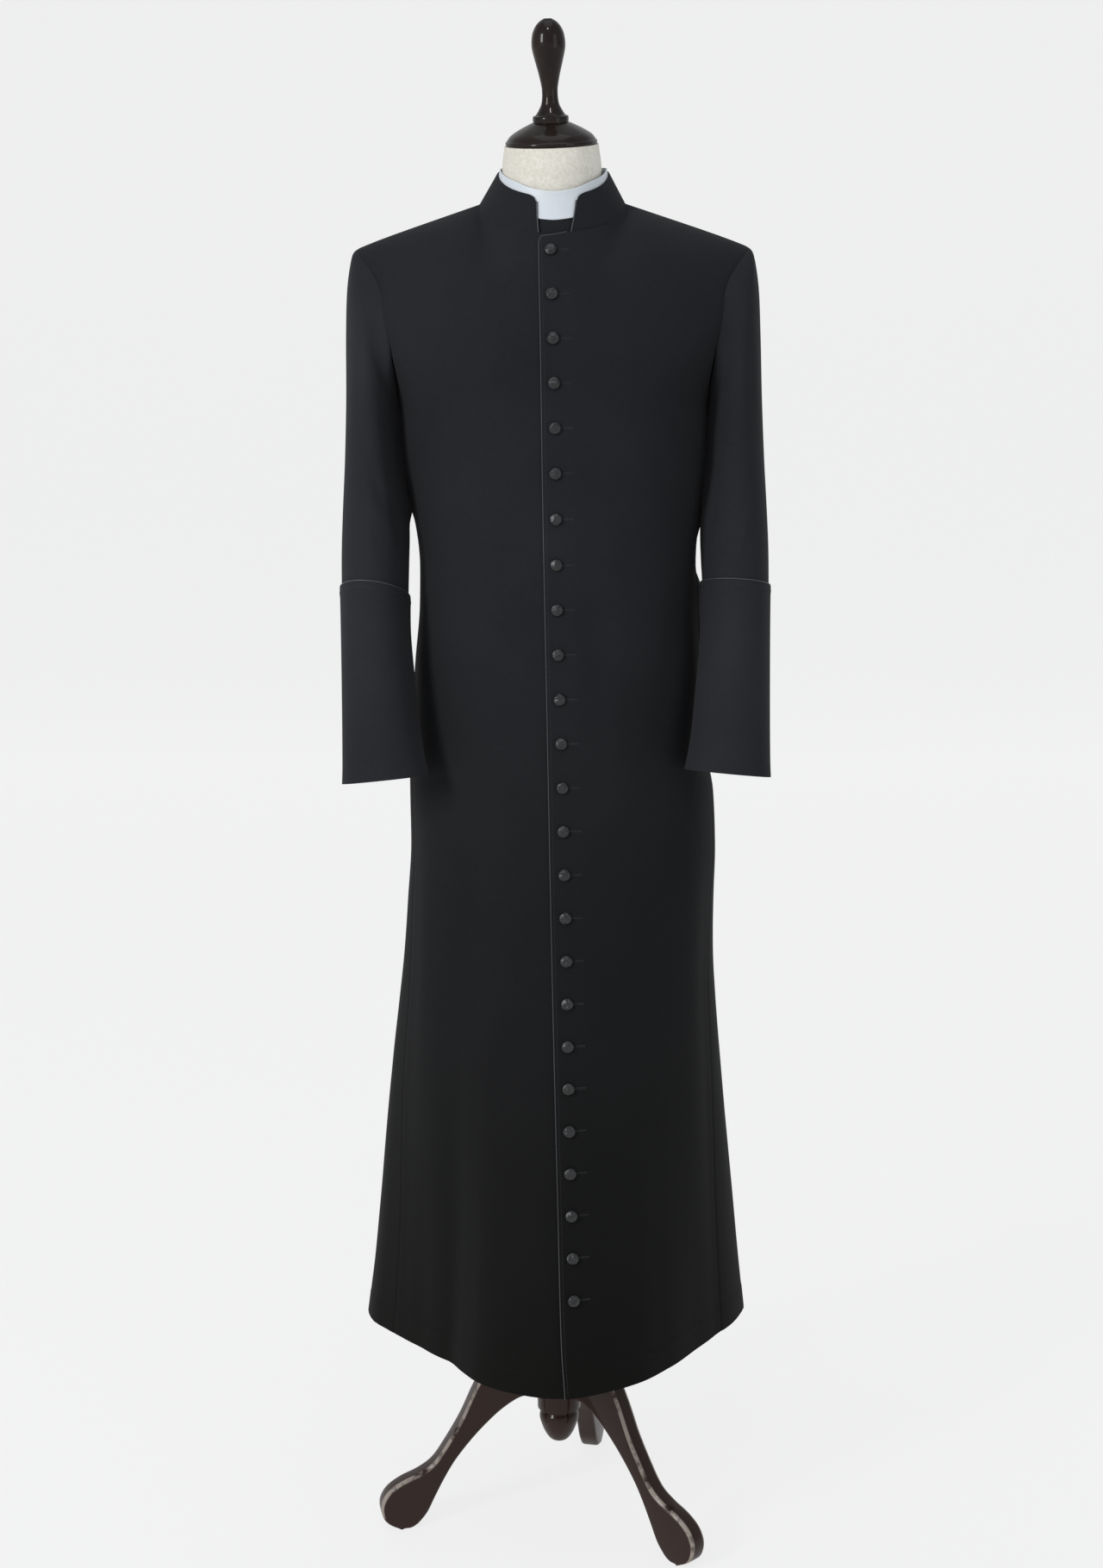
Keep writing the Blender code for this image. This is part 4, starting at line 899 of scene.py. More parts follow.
cloth = {
    "wall": 0.0013,
    "skirtStep": 0.0085,
    "yokeRows": 30,
    "seamSteps": (0.0, 0.0012, 0.0026, 0.0044, 0.0075),
    "seamSink": 0.0006,
    "seamReach": 0.0025,
    "hemFold": 0.027,
    "hemSwell": 0.0004,
    "openColumns": 34,
    # the left front's top corner: from this row up it dips towards its edge and is rounded
    "cornerRow": 1.85,
    "cornerDip": 0.0045,
    "cornerReach": 0.035,
    "cornerRound": 0.0048,
    # across is measured along the cloth from the body's middle line, z from the floor
    "frontLeftCreases": (
        Crease(0.172, 1.395, 0.070, 0.020, -0.0022, -38),
        Crease(0.150, 1.330, 0.090, 0.026, -0.0016, -26),
        Crease(0.075, 1.120, 0.160, 0.034, 0.0014, 8),
        Crease(0.160, 1.150, 0.120, 0.030, -0.0016, 14),
        Crease(0.120, 0.860, 0.260, 0.045, -0.0020, 3),
        Crease(0.205, 0.700, 0.300, 0.040, 0.0022, -3),
        Crease(0.085, 0.520, 0.240, 0.050, 0.0018, 2),
        Crease(0.300, 0.520, 0.260, 0.040, -0.0020, -4),
    ),
    "frontRightCreases": (
        Crease(0.170, 1.390, 0.075, 0.022, -0.0024, -36),
        Crease(0.145, 1.320, 0.080, 0.026, -0.0015, -24),
        Crease(0.090, 1.110, 0.150, 0.036, 0.0013, 10),
        Crease(0.165, 1.130, 0.110, 0.028, -0.0017, 16),
        Crease(0.110, 0.830, 0.250, 0.045, -0.0019, 4),
        Crease(0.200, 0.660, 0.280, 0.040, 0.0022, -2),
        Crease(0.090, 0.480, 0.230, 0.050, 0.0018, 2),
        Crease(0.290, 0.500, 0.240, 0.042, -0.0020, -4),
    ),
    "backLeftCreases": (
        Crease(0.170, 1.400, 0.080, 0.022, -0.0022, -34),
        Crease(0.060, 1.240, 0.110, 0.030, -0.0016, 12),
        Crease(0.140, 1.120, 0.130, 0.032, 0.0016, 12),
        Crease(0.095, 0.840, 0.260, 0.045, -0.0020, 3),
        Crease(0.215, 0.660, 0.280, 0.042, 0.0021, -3),
        Crease(0.300, 0.500, 0.250, 0.045, -0.0019, -4),
    ),
    "backRightCreases": (
        Crease(0.165, 1.395, 0.075, 0.022, -0.0020, -36),
        Crease(0.070, 1.230, 0.100, 0.030, -0.0015, 10),
        Crease(0.145, 1.110, 0.120, 0.032, 0.0015, 14),
        Crease(0.105, 0.860, 0.270, 0.045, -0.0021, 2),
        Crease(0.220, 0.640, 0.260, 0.042, 0.0020, -3),
        Crease(0.290, 0.520, 0.240, 0.045, -0.0018, -4),
    ),
}


def creased(across, heights, creases):
    # soft troughs with a low swell on each side
    offset = np.zeros_like(across)
    for crease in creases:
        slant = math.radians(crease.slant)
        dx = across - crease.across
        dz = heights - crease.z
        along = (dx * math.sin(slant) + dz * math.cos(slant)) / crease.length
        aside = (dx * math.cos(slant) - dz * math.sin(slant)) / crease.width
        offset += crease.depth * (1 - 1.2 * aside**2) * np.exp(-(aside**2) - along**2)
    return offset


def cornerDrop(fromEdge):
    dip = cloth["cornerDip"] * (1 - smoothstep(fromEdge / cloth["cornerReach"]))
    near = max(cloth["cornerRound"] - fromEdge, 0)
    return dip + cloth["cornerRound"] - math.sqrt(cloth["cornerRound"] ** 2 - near**2)


def panelRows():
    hem, armpit = cassock["hemHeight"], cassock["armpitHeight"]
    heights = [hem] + [hem + rise for rise in (0.0012, 0.003, 0.006, 0.011, 0.018, 0.0245, 0.027, 0.0295)]
    heights += list(np.arange(hem + 0.036, armpit - 0.003, cloth["skirtStep"]))
    yoke = [1 + i / cloth["yokeRows"] for i in range(cloth["yokeRows"])]
    return [rowOfHeight(z) for z in heights] + yoke + [1.984, 1.992, 1.997, 2.0]


def panelShares(start, row, behind):
    # even columns, closer at both edges, where the cloth is sewn or turned
    length = (panelPoint(0.5, row, behind) - panelPoint(0.48, row, behind)).length / 0.02
    near = [step / length for step in cloth["seamSteps"]]
    middle = np.linspace(start + near[-1], 1 - near[-1], cloth["openColumns"])
    return [start + step for step in near[:-1]] + list(middle) + [1 - step for step in reversed(near[:-1])]


def panelGrid(side, behind):
    rows = panelRows()
    starts = [0.0] * len(rows)
    if not behind:
        starts = [frontEdgeShare(row) for row in rows]
    grid, shares = [], []
    for row, start in zip(rows, starts):
        if not behind and side < 0:
            # the right front starts under the left one, past the edge and the buttonholes
            start = -(start + 2 * cassock["lapShare"])
        line = panelShares(start, row, behind)
        shares.append(line)
        grid.append([tuple(panelPoint(side * share, row, behind)) for share in line])
    return np.array(grid), np.array(shares) * side, np.array(rows)


panels = {}
for name, side, behind in (
    ("front_left", 1, False),
    ("front_right", -1, False),
    ("back_left", 1, True),
    ("back_right", -1, True),
):
    grid, shares, rows = panelGrid(side, behind)
    normals = gridNormals(grid, False, grid * (0, 0, 1))
    panels[name] = {
        "grid": grid, "shares": shares, "rows": rows, "normals": normals, "side": side, "behind": behind
    }

# where a front and a back are sewn together, both share one direction
for word in ("left", "right"):
    front, back = panels["front_" + word], panels["back_" + word]
    shared = front["normals"][:, -1] + back["normals"][:, -1]
    shared /= np.linalg.norm(shared, axis=-1, keepdims=True)
    sewn = front["rows"] <= 1
    front["normals"][sewn, -1] = shared[sewn]
    back["normals"][sewn, -1] = shared[sewn]


def makePanel(name, creases):
    panel = panels[name]
    grid, normals, shares = panel["grid"], panel["normals"], panel["shares"]
    rows, columns = grid.shape[:2]
    heights = grid[:, :, 2]
    lift = np.zeros((rows, columns))
    if name == "front_left":
        for i, row in enumerate(panel["rows"]):
            edge = frontEdgeShare(row)
            lift[i] = [lapLift(share, edge) for share in shares[i]]
    steps = np.linalg.norm(np.diff(grid, axis=1), axis=2)
    fromStart = np.concatenate([np.zeros((rows, 1)), np.cumsum(steps, axis=1)], axis=1)
    fromSide = fromStart[:, -1:] - fromStart
    across = fromStart + np.abs(grid[:, :1, 0]) * np.sign(shares[:, :1] * panel["side"])
    fade = np.clip(fromSide / 0.03, 0, 1) * np.clip((heights - cassock["hemHeight"]) / 0.06, 0.25, 1)
    fade *= np.clip((1.60 - heights) / 0.06, 0, 1)
    if not panel["behind"]:
        fade *= np.clip((fromStart - 0.030) / 0.04, 0, 1)
    lift += creased(across, heights, creases) * fade
    lift -= cloth["seamSink"] * np.exp(-((fromSide / cloth["seamReach"]) ** 2))
    if panel["behind"]:
        lift -= cloth["seamSink"] * np.exp(-((fromStart / cloth["seamReach"]) ** 2))
    pastFold = heights - cassock["hemHeight"] - cloth["hemFold"]
    lift += cloth["hemSwell"] * (1 - np.clip(pastFold / 0.003, 0, 1))
    outer = grid + normals * lift[:, :, None]
    if name == "front_left":
        climb = np.clip((panel["rows"] - cloth["cornerRow"]) / (2 - cloth["cornerRow"]), 0, 1)
        drops = np.array([[cornerDrop(reach) for reach in line] for line in fromStart])
        drops *= (climb**2 * (3 - 2 * climb))[:, None]
        up = np.gradient(grid, axis=0)
        outer -= up / np.linalg.norm(up, axis=2, keepdims=True) * drops[:, :, None]
    panel["outer"] = outer
    piece = newPiece(name + "_cloth", shellMesh(name, outer, normals, cloth["wall"], angle=60), wool)
    return setPiece(piece, name)


frontLeft = makePanel("front_left", cloth["frontLeftCreases"])
frontRight = makePanel("front_right", cloth["frontRightCreases"])
backLeft = makePanel("back_left", cloth["backLeftCreases"])
backRight = makePanel("back_right", cloth["backRightCreases"])
print("body panels made")


tubes = {
    "around": 72,
    "steps": 12,
    "cuffSwell": 0.0005,
    # turn is measured from the sleeve's outer line, forward, in degrees; z from the floor
    "leftCreases": (
        Crease(105, 1.330, 0.030, 0.016, -0.0020, -34),
        Crease(140, 1.295, 0.035, 0.015, -0.0026, -28),
        Crease(80, 1.285, 0.030, 0.014, 0.0012, -24),
        Crease(165, 1.400, 0.060, 0.016, -0.0016, 12),
        Crease(60, 1.470, 0.070, 0.018, -0.0010, 6),
        Crease(230, 1.310, 0.040, 0.018, -0.0018, 26),
        Crease(270, 1.420, 0.070, 0.020, -0.0012, -8),
    ),
    # under the arm the sleeve swells against the body
    "armpitSwells": (
        Crease(180, 1.425, 0.020, 0.035, 0.0040, 0),
        Crease(180, 1.385, 0.050, 0.035, 0.0064, 0),
    ),
    "rightCreases": (
        Crease(180, 1.314, 0.013, 0.030, 0.0055, 0),
        Crease(100, 1.340, 0.030, 0.016, -0.0020, -32),
        Crease(135, 1.300, 0.035, 0.015, -0.0025, -26),
        Crease(85, 1.280, 0.030, 0.014, 0.0012, -22),
        Crease(160, 1.410, 0.060, 0.016, -0.0015, 12),
        Crease(65, 1.460, 0.070, 0.018, -0.0010, 6),
        Crease(235, 1.320, 0.040, 0.018, -0.0018, 24),
        Crease(275, 1.430, 0.070, 0.020, -0.0012, -8),
    ),
}


def armholeLoop(side):
    half = tubes["around"] // 2
    rows = [2 - i / half for i in range(half + 1)]
    front = [panelPoint(1, row, False) for row in rows]
    back = [panelPoint(1, row, True) for row in reversed(rows[1:-1])]
    loop = [point + Vector((sleeve["sleeveStart"], 0, 0)) for point in front + back]
    return np.array([(side * point.x, point.y, point.z) for point in loop])


def ringPoints(ring, side, shrink=0.0):
    outer = Vector((ring.outerX, ring.middle, ring.outerZ))
    inner = Vector((ring.innerX, ring.middle, ring.innerZ))
    centre = (outer + inner) / 2
    half = (outer - inner) / 2
    half *= 1 - shrink / half.length
    depth = ring.halfDepth - shrink
    hang = sleeve["sleeveHangs"][side]
    centre.x -= hang.inward * smoothstep((sleeve["hangStart"] - ring.outerZ) / sleeve["hangSpan"])
    points = []
    for i in range(tubes["around"]):
        turn = 2 * math.pi * i / tubes["around"]
        point = centre + half * math.cos(turn) + Vector((0, -depth, depth * ring.rise)) * math.sin(turn)
        points.append((side * point.x, point.y, point.z))
    return np.array(points)


def smoothRings(rings, steps):
    # a smooth tube through the rings, by the length between them
    gaps = [np.linalg.norm(b - a, axis=1).mean() for a, b in zip(rings, rings[1:])]
    places = np.concatenate([[0], np.cumsum(gaps)])
    slopes = []
    for i in range(len(rings)):
        low, high = max(i - 1, 0), min(i + 1, len(rings) - 1)
        slopes.append((rings[high] - rings[low]) / (places[high] - places[low]))
    made = []
    for i, gap in enumerate(gaps):
        count = max(2, round(gap / steps))
        for step in range(count):
            made.append(hermite(rings[i], rings[i + 1], slopes[i] * gap, slopes[i + 1] * gap, step / count))
    made.append(rings[-1])
    return np.array(made)


def tubeCreases(grid, creases):
    turns = np.linspace(0, 360, tubes["around"], endpoint=False)[None, :]
    reach = 0.07
    offset = np.zeros(grid.shape[:2])
    for crease in creases:
        away = (turns - crease.across + 180) % 360 - 180
        dx = np.radians(away) * reach
        dz = grid[:, :, 2] - crease.z
        slant = math.radians(crease.slant)
        along = (dx * math.sin(slant) + dz * math.cos(slant)) / crease.length
        aside = (dx * math.cos(slant) - dz * math.sin(slant)) / crease.width
        offset += crease.depth * (1 - 1.2 * aside**2) * np.exp(-(aside**2) - along**2)
    return offset


def ringRuns(grid):
    # how far each ring of a tube lies from its first one
    steps = np.linalg.norm(np.diff(grid.mean(axis=1), axis=0), axis=1)
    return np.concatenate([[0], np.cumsum(steps)])[:, None]


def cordAlong(name, path, radius, **shape):
    piece = newPiece(name + "_cord", tubeMesh(name, path, radius, **shape), cord)
    return setPiece(piece, name)


def makeTube(name, grid, lift):
    axis = grid.mean(axis=1, keepdims=True)
    normals = gridNormals(grid, True, axis)
    outer = grid + normals * lift[:, :, None]
    mesh = shellMesh(name, outer, normals, cloth["wall"], around=True, angle=60)
    # sleeves and cuffs take the lighter wool, which is painted light
    piece = newPiece(name + "_cloth", mesh, sleeveWoolPaintedLight)
    return setPiece(piece, name), outer, normals


sleevePieces, cuffPieces, cuffRims = {}, {}, {}
for word, side in (("left", 1), ("right", -1)):
    hem = sleeve["cuffRings"][-1]
    hang = sleeve["sleeveHangs"][side]
    hem = hem._replace(outerZ=hem.outerZ + hang.hemRise, innerZ=hem.innerZ + hang.hemRise)
    cuffTop = sleeve["cuffRings"][0]
    tilt = cuffTop.rise - hang.topRise / 2 / cuffTop.halfDepth
    cuffTop = cuffTop._replace(innerZ=cuffTop.innerZ + hang.topRise, rise=tilt)
    cuffRings = (cuffTop,) + sleeve["cuffRings"][1:-1] + (hem,)
    share = sleeve["sleeveShortShare"]
    end = Ring(*(a + (b - a) * share for a, b in zip(hem, cuffRings[-2])))
    rings = [armholeLoop(side)] + [ringPoints(ring, side) for ring in sleeve["sleeveRings"]]
    rings += [ringPoints(ring, side, sleeve["cuffLift"]) for ring in cuffRings[:-1] + (end,)]
    grid = smoothRings(rings, 0.006)
    down = ringRuns(grid)
    lift = tubeCreases(grid, tubes[word + "Creases"]) * np.clip((down - 0.04) / 0.05, 0, 1)
    lift *= np.clip((grid[:, :, 2] - 1.235) / 0.02, 0, 1)
    lift += tubeCreases(grid, tubes["armpitSwells"]) * np.clip(down / 0.008, 0, 1)
    lift -= cloth["seamSink"] * np.exp(-((down / cloth["seamReach"]) ** 2))
    sleevePieces[word], _, _ = makeTube("sleeve_" + word, grid, lift)
    grid = smoothRings([ringPoints(ring, side) for ring in cuffRings], 0.006)
    down = ringRuns(grid)
    lift = tubes["cuffSwell"] * np.exp(-(((down - 0.004) / 0.004) ** 2)) + np.zeros(grid.shape[:2])
    lift += tubes["cuffSwell"] * np.exp(-(((down[-1] - down) / 0.010) ** 2))
    cuffPieces[word], outer, normals = makeTube("cuff_" + word, grid, lift)
    cuffRims[word] = (outer, normals)
    lip = ringPoints(cuffRings[0], side, cassock["cloth"] / 2)
    below = ringPoints(cuffRings[1], side, cassock["cloth"] / 2)
    away = (lip - below) / np.linalg.norm(lip - below, axis=1, keepdims=True)
    path = lip + away * piping["pipingReach"]
    name = "cuff_piping_" + word
    cordAlong(name, smoothPath(path, 2, closed=True), piping["pipingRadius"], closed=True)
print("sleeves and cuffs made")


insertBottomAt = smoothColumn(collar["insertEdges"], "angle", "bottom")
insertTopAt = smoothColumn(collar["insertEdges"], "angle", "top")
formGapAt = smoothColumn(form["formGaps"], "row", "gap")

neck = {
    # the first row is the allowance tucked behind the neckline
    "collarHeights": (-0.05, 0.0, 0.03, 0.08, 0.16, 0.28, 0.42, 0.56, 0.70, 0.82, 0.90, 0.96, 0.985, 1.0),
    "collarColumns": 110,
    "tuck": 0.0015,
    # how much of its height the collar keeps, by degrees from the notch
    "corner": {0: 0.84, 1: 0.90, 2: 0.935, 4: 0.965, 7: 0.99, 11: 1.0},
    "bead": 0.0005,
    "insertColumns": 96,
    "tabColumns": 25,
    "cordEnd": 0.058,
    "cordRadius": 0.00065,
}


def neckShell(name, outer, inner, around, material):
    rows, columns = outer.shape[:2]
    normals = outer - inner
    thickness = np.linalg.norm(normals, axis=2, keepdims=True)
    mesh = shellMesh(name, outer, normals / thickness, thickness, around=around, angle=60)
    return setPiece(newPiece(name + "_cloth", mesh, material), name)


def collarEnds(height):
    start = collar["notchLeft"] + collar["notchSpreadLeft"] * height
    return start, 360 - collar["notchRight"] - collar["notchSpreadRight"] * height


def collarAngles(height):
    start, end = collarEnds(height)
    share = np.linspace(0, 1, neck["collarColumns"])
    share = share + 0.04 * np.sin(2 * np.pi * share) * -1
    return start + (end - start) * share


outer, inner = [], []
for height in neck["collarHeights"]:
    start, end = collarEnds(height)
    lift = Vector((0, 0, collar["collarLift"] * (1 - height)))
    tuck = neck["tuck"] if height < 0 else 0.0
    outerLine, innerLine = [], []
    for angle in collarAngles(height):
        fromNotch = min(angle - start, end - angle)
        corner = float(np.interp(fromNotch, list(neck["corner"]), list(neck["corner"].values())))
        outerLine.append(tuple(collarPoint(angle, height * corner, tuck) + lift))
        innerLine.append(tuple(collarPoint(angle, height * corner, tuck + cassock["cloth"]) + lift))
    outer.append(outerLine)
    inner.append(innerLine)
outer, inner = np.array(outer), np.array(inner)
collarPiece = neckShell("collar", outer, inner, False, wool)
for word, at, beside in (("left", 0, 1), ("right", -1, -2)):
    path = []
    for line, back in zip(outer[1:], inner[1:]):
        away = (line[at] - line[beside]) * (1, 1, 0)
        path.append((line[at] + back[at]) / 2 + away / np.linalg.norm(away) * piping["pipingReach"])
    path[0] = path[0] + (path[1] - path[0]) * 0.6
    name = "collar_piping_" + word
    cordAlong(name, smoothPath(path, 3), piping["pipingRadius"])


def bandGrid(angles, edgesOf, depth, thickness, bead):
    outer, inner = [], []
    for share in (0.0, 0.03, 0.08, 0.14, 0.3, 0.5, 0.7, 0.86, 0.92, 0.97, 1.0):
        nearEdge = min(share, 1 - share)
        swell = bead * math.exp(-(((nearEdge - 0.05) / 0.035) ** 2))
        outerLine, innerLine = [], []
        for angle in angles:
            bottom, top = edgesOf(min(angle % 360, -angle % 360))
            height = bottom + (top - bottom) * share
            outerLine.append(tuple(collarPoint(angle, height, depth - swell)))
            innerLine.append(tuple(collarPoint(angle, height, depth + thickness)))
        outer.append(outerLine)
        inner.append(innerLine)
    return np.array(outer), np.array(inner)


angles = [360 * i / neck["insertColumns"] for i in range(neck["insertColumns"])]


def insertEdges(angle):
    return insertBottomAt(angle), insertTopAt(angle)


def tabEdges(angle):
    return collar["tabBottom"], collar["tabTop"]


outer, inner = bandGrid(angles, insertEdges, collar["insertDepth"], collar["insertCloth"], neck["bead"])
insertPiece = neckShell("collar_insert", outer, inner, True, white)
angles = np.linspace(-24, 24, neck["tabColumns"])
outer, inner = bandGrid(angles, tabEdges, collar["tabDepth"], collar["tabCloth"], 0.0)
tabPiece = neckShell("neck_tab", outer, inner, False, wool)

# the cord up the front edge, round its top corner and along the neckline to the notch
frontPanel = panels["front_left"]
topColumns = int((frontPanel["shares"][-1] < neck["cordEnd"]).sum())
tall = frontPanel["outer"][:, 0]
tall = tall[tall[:, 2] < tall[-1, 2] - 0.0015]
edgeLine = np.concatenate([tall, frontPanel["outer"][-1, :topColumns]])
edgeNormals = np.concatenate([frontPanel["normals"][: len(tall), 0], frontPanel["normals"][-1, :topColumns]])
away = np.cross(edgeNormals, np.gradient(edgeLine, axis=0))
away /= np.linalg.norm(away, axis=1, keepdims=True)
path = edgeLine + away * piping["pipingReach"] * 0.6 - edgeNormals * cloth["wall"] / 2
frontCord = cordAlong("front_piping", smoothPath(path, 2), neck["cordRadius"], sides=8)
print("collar, insert and piping made")

# the linen form, which follows the cloth from inside
formShares = [0.4 * i / 12 for i in range(12)] + [0.4 + 0.6 * i / 12 for i in range(13)]
formZ = [form["formBottom"], 0.812] + list(np.arange(0.85, 1.42, 0.03))
formRows = [rowOfHeight(z) for z in formZ] + [1 + i / 16 for i in range(17)]
points = []
for row in formRows:
    points += [formPoint(share, row, False) for share in formShares]
    points += [formPoint(share, row, True) for share in reversed(formShares)]
    points += [formPoint(-share, row, True) for share in formShares[1:]]
    points += [formPoint(-share, row, False) for share in reversed(formShares[1:])]
count = len(formShares)
around = 4 * count - 2
for point in points[:around]:
    point.z = form["formBottom"]
faces = []
for i in range(len(formRows) - 1):
    for j in range(around):
        k = (j + 1) % around
        faces.append((i * around + j, i * around + k, (i + 1) * around + k, (i + 1) * around + j))
faces.append(tuple(reversed(range(around))))
top = (len(formRows) - 1) * around
openColumns = 12
loop = [top + j for j in range(openColumns + 1)]
loop += [top + 2 * count - 1 - j for j in range(openColumns - 1, -1, -1)]
loop += [top + 2 * count - 1 + j for j in range(1, openColumns + 1)]
loop += [top + around - j for j in range(openColumns - 1, 0, -1)]
turns = len(loop)
neckAngles = [360 * i / turns for i in range(turns)]
rings = [np.array([tuple(points[j]) for j in loop])]
neckFoot = (form["neckFootHeight"], form["neckFootDepth"])
rings.append(np.array([tuple(collarPoint(angle, *neckFoot)) for angle in neckAngles]))
rings += [np.array([tuple(point) for point in neckRing(ring, turns)]) for ring in form["neckRings"]]
for ring in smoothRings(rings, 0.006)[1:]:
    above = [len(points) + j for j in range(turns)]
    points += [Vector(point) for point in ring]
    for j in range(turns):
        k = (j + 1) % turns
        faces.append((loop[j], loop[k], above[k], above[j]))
    loop = above
faces.append(tuple(loop))
weave = [(math.atan2(point.x, -point.y) * 0.06, point.z) for point in points]
torso = newPiece("torso_linen", closedMesh("torso", points, faces, 50, weave), linen)
setPiece(torso, "torso")

# turned wood: the cap and the finial lean with the neck
lean = Euler((form["formLean"], form["formTilt"], 0)).to_matrix()
base = Vector((form["neckSide"], form["neckMiddleTop"], form["neckRings"][-1].along))
base += lean @ Vector((0, 0, 0.0003))


def woodPiece(name, mesh):
    return setPiece(newPiece(name + "_wood", mesh, wood), name)


def turnedPiece(name, profile, steps, place=None):
    even = smoothPath([(turn.along, turn.radius) for turn in profile], steps)
    mesh = turnedMesh(name, even, 64)
    if place is not None:
        mesh.transform(place)
    return woodPiece(name, mesh)


tip = Matrix.Translation(base) @ lean.to_4x4()
turnedPiece("neck_cap", form["capProfile"], 5, tip)
turnedPiece("finial", form["finialProfile"], 6, tip)
turnedPiece("hub", stand["hubProfile"], 4)
hubTop = stand["hubProfile"][-1].along
poleEnds = (hubTop + 0.0003, form["formBottom"] - 0.0003)
poleMesh = turnedMesh("pole", [(along, stand["poleRadius"]) for along in np.linspace(*poleEnds, 12)], 48)
woodPiece("pole", poleMesh)

leg = {"sections": 7, "arcPoints": 5, "round": 0.005}


def legMesh(name, azimuth):
    # rounded sections between the upper and lower outlines, from the hub to the toe
    rows = stand["legStations"]
    upper = smoothPath([(stand["legStart"] + row.upperOut, row.upperZ) for row in rows], leg["sections"])
    lower = smoothPath([(stand["legStart"] + row.lowerOut, row.lowerZ) for row in rows], leg["sections"])
    half = stand["legThickness"] / 2
    points, wearAndHighlightMarks, faces = [], [], []
    around = 4 * (leg["arcPoints"] + 1)
    for high, low in zip(upper, lower):
        high, low = np.array(high), np.array(low)
        length = max(np.linalg.norm(high - low), 1e-5)
        along = (high - low) / length
        radius = min(leg["round"], length * 0.45, half * 0.9)
        for corner, (side, end) in enumerate(((1, 1), (-1, 1), (-1, -1), (1, -1))):
            for step in range(leg["arcPoints"] + 1):
                turn = math.pi / 2 * (corner + step / leg["arcPoints"])
                aside = side * (half - radius) + radius * math.cos(turn)
                rise = end * (length / 2 - radius) + radius * math.sin(turn)
                flat = (high + low) / 2 + along * rise
                points.append((flat[0], aside, max(flat[1], 0.0)))
                # the upper rounded edge is marked for lightening, which is part wear and part painted
                # highlight
                wearAndHighlightMarks.append(1.0 if end > 0 and abs(step - leg["arcPoints"] / 2) < 2 else 0.0)
    sections = len(upper)
    for i in range(sections - 1):
        for j in range(around):
            k = (j + 1) % around
            faces.append((i * around + j, i * around + k, (i + 1) * around + k, (i + 1) * around + j))
    faces.append(tuple(range(around)))
    faces.append(tuple((sections - 1) * around + j for j in reversed(range(around))))
    mesh = bpy.data.meshes.new(name)
    mesh.from_pydata(points, [], faces)
    mesh.attributes.new("wearAndHighlight", "FLOAT", "POINT").data.foreach_set("value", wearAndHighlightMarks)
    work = bmesh.new()
    work.from_mesh(mesh)
    bmesh.ops.remove_doubles(work, verts=work.verts, dist=0.00002)
    bmesh.ops.dissolve_degenerate(work, dist=0.00001, edges=work.edges)
    bmesh.ops.recalc_face_normals(work, faces=work.faces)
    work.to_mesh(mesh)
    work.free()
    shadeSmooth(mesh, 50)
    mesh.transform(Matrix.Rotation(math.radians(azimuth - 90), 4, "Z"))
    return mesh


for name, azimuth in stand["legAzimuths"]:
    woodPiece(name, legMesh(name, azimuth))
print("form and stand made")

buttonHeightAt = smoothColumn(button["buttonLine"], "number", "z")
buttonXAt = smoothColumn(button["buttonLine"], "number", "x")
crumple = {"segments": 40, "folds": 4, "depth": 0.00055, "width": 0.62}
# each height of the dome with its share of the full width
domeProfile = (
    (0.0, 0.90), (0.0004, 0.965), (0.0010, 1.0), (0.0017, 0.985), (0.0024, 0.92), (0.0031, 0.80),
    (0.0036, 0.64), (0.0040, 0.46), (0.0042, 0.28), (0.0043, 0.12), (0.0043, 0.02),
)


def rowAtHeight(z):
    low, high = 0.0, 2.0
    for _ in range(40):
        half = (low + high) / 2
        if panelPoint(0, half, False).z < z:
            low = half
        else:
            high = half
    return low


def buttonMesh(name, number):
    # satin over a mould, with a few soft tucks that run across the dome
    chance = np.random.default_rng(number)
    folds = [
        (chance.uniform(0, math.pi), chance.uniform(-0.6, 0.6), chance.uniform(0.6, 1.3))
        for _ in range(crumple["folds"])
    ]
    points, faces = [], []
    segments = crumple["segments"]
    for height, reach in domeProfile:
        for j in range(segments):
            turn = 2 * math.pi * j / segments
            x, y = reach * math.cos(turn), reach * math.sin(turn)
            rise = 0.0
            for slant, offset, share in folds:
                across = (x * math.sin(slant) - y * math.cos(slant) - offset) / crumple["width"] * 2.2
                rise += crumple["depth"] * share * (1 - 1.3 * across**2) * math.exp(-(across**2))
            top = smoothstep((height - 0.0010) / 0.0016)
            radius = button["buttonRadius"]
            points.append((x * radius, y * radius, max(height + rise * top, 0.0)))
    for i in range(len(domeProfile) - 1):
        for j in range(segments):
            k = (j + 1) % segments
            faces.append((i * segments + j, i * segments + k, (i + 1) * segments + k, (i + 1) * segments + j))
    faces.append(tuple(range(segments)))
    faces.append(tuple((len(domeProfile) - 1) * segments + j for j in range(segments)))
    weave = [(point[0], point[1]) for point in points]
    return closedMesh(name, points, faces, 70, weave)


buttonSeats = []
for number in range(1, button["buttonCount"] + 1):
    row = rowAtHeight(buttonHeightAt(number))
    share = shareOfX(buttonXAt(number), row)
    point, normal = panelPoint(share, row, False), panelNormal(share, row, False)
    buttonSeats.append((point, normal))
    name = f"button_{number:02d}"
    mesh = buttonMesh(name, number)
    seat = point + normal * (cassock["lapLift"] + button["buttonGap"])
    mesh.transform(Matrix.Translation(seat) @ normal.to_track_quat("Z", "Y").to_matrix().to_4x4())
    setPiece(newPiece(name + "_satin", mesh, satin), name)
print("buttons made")


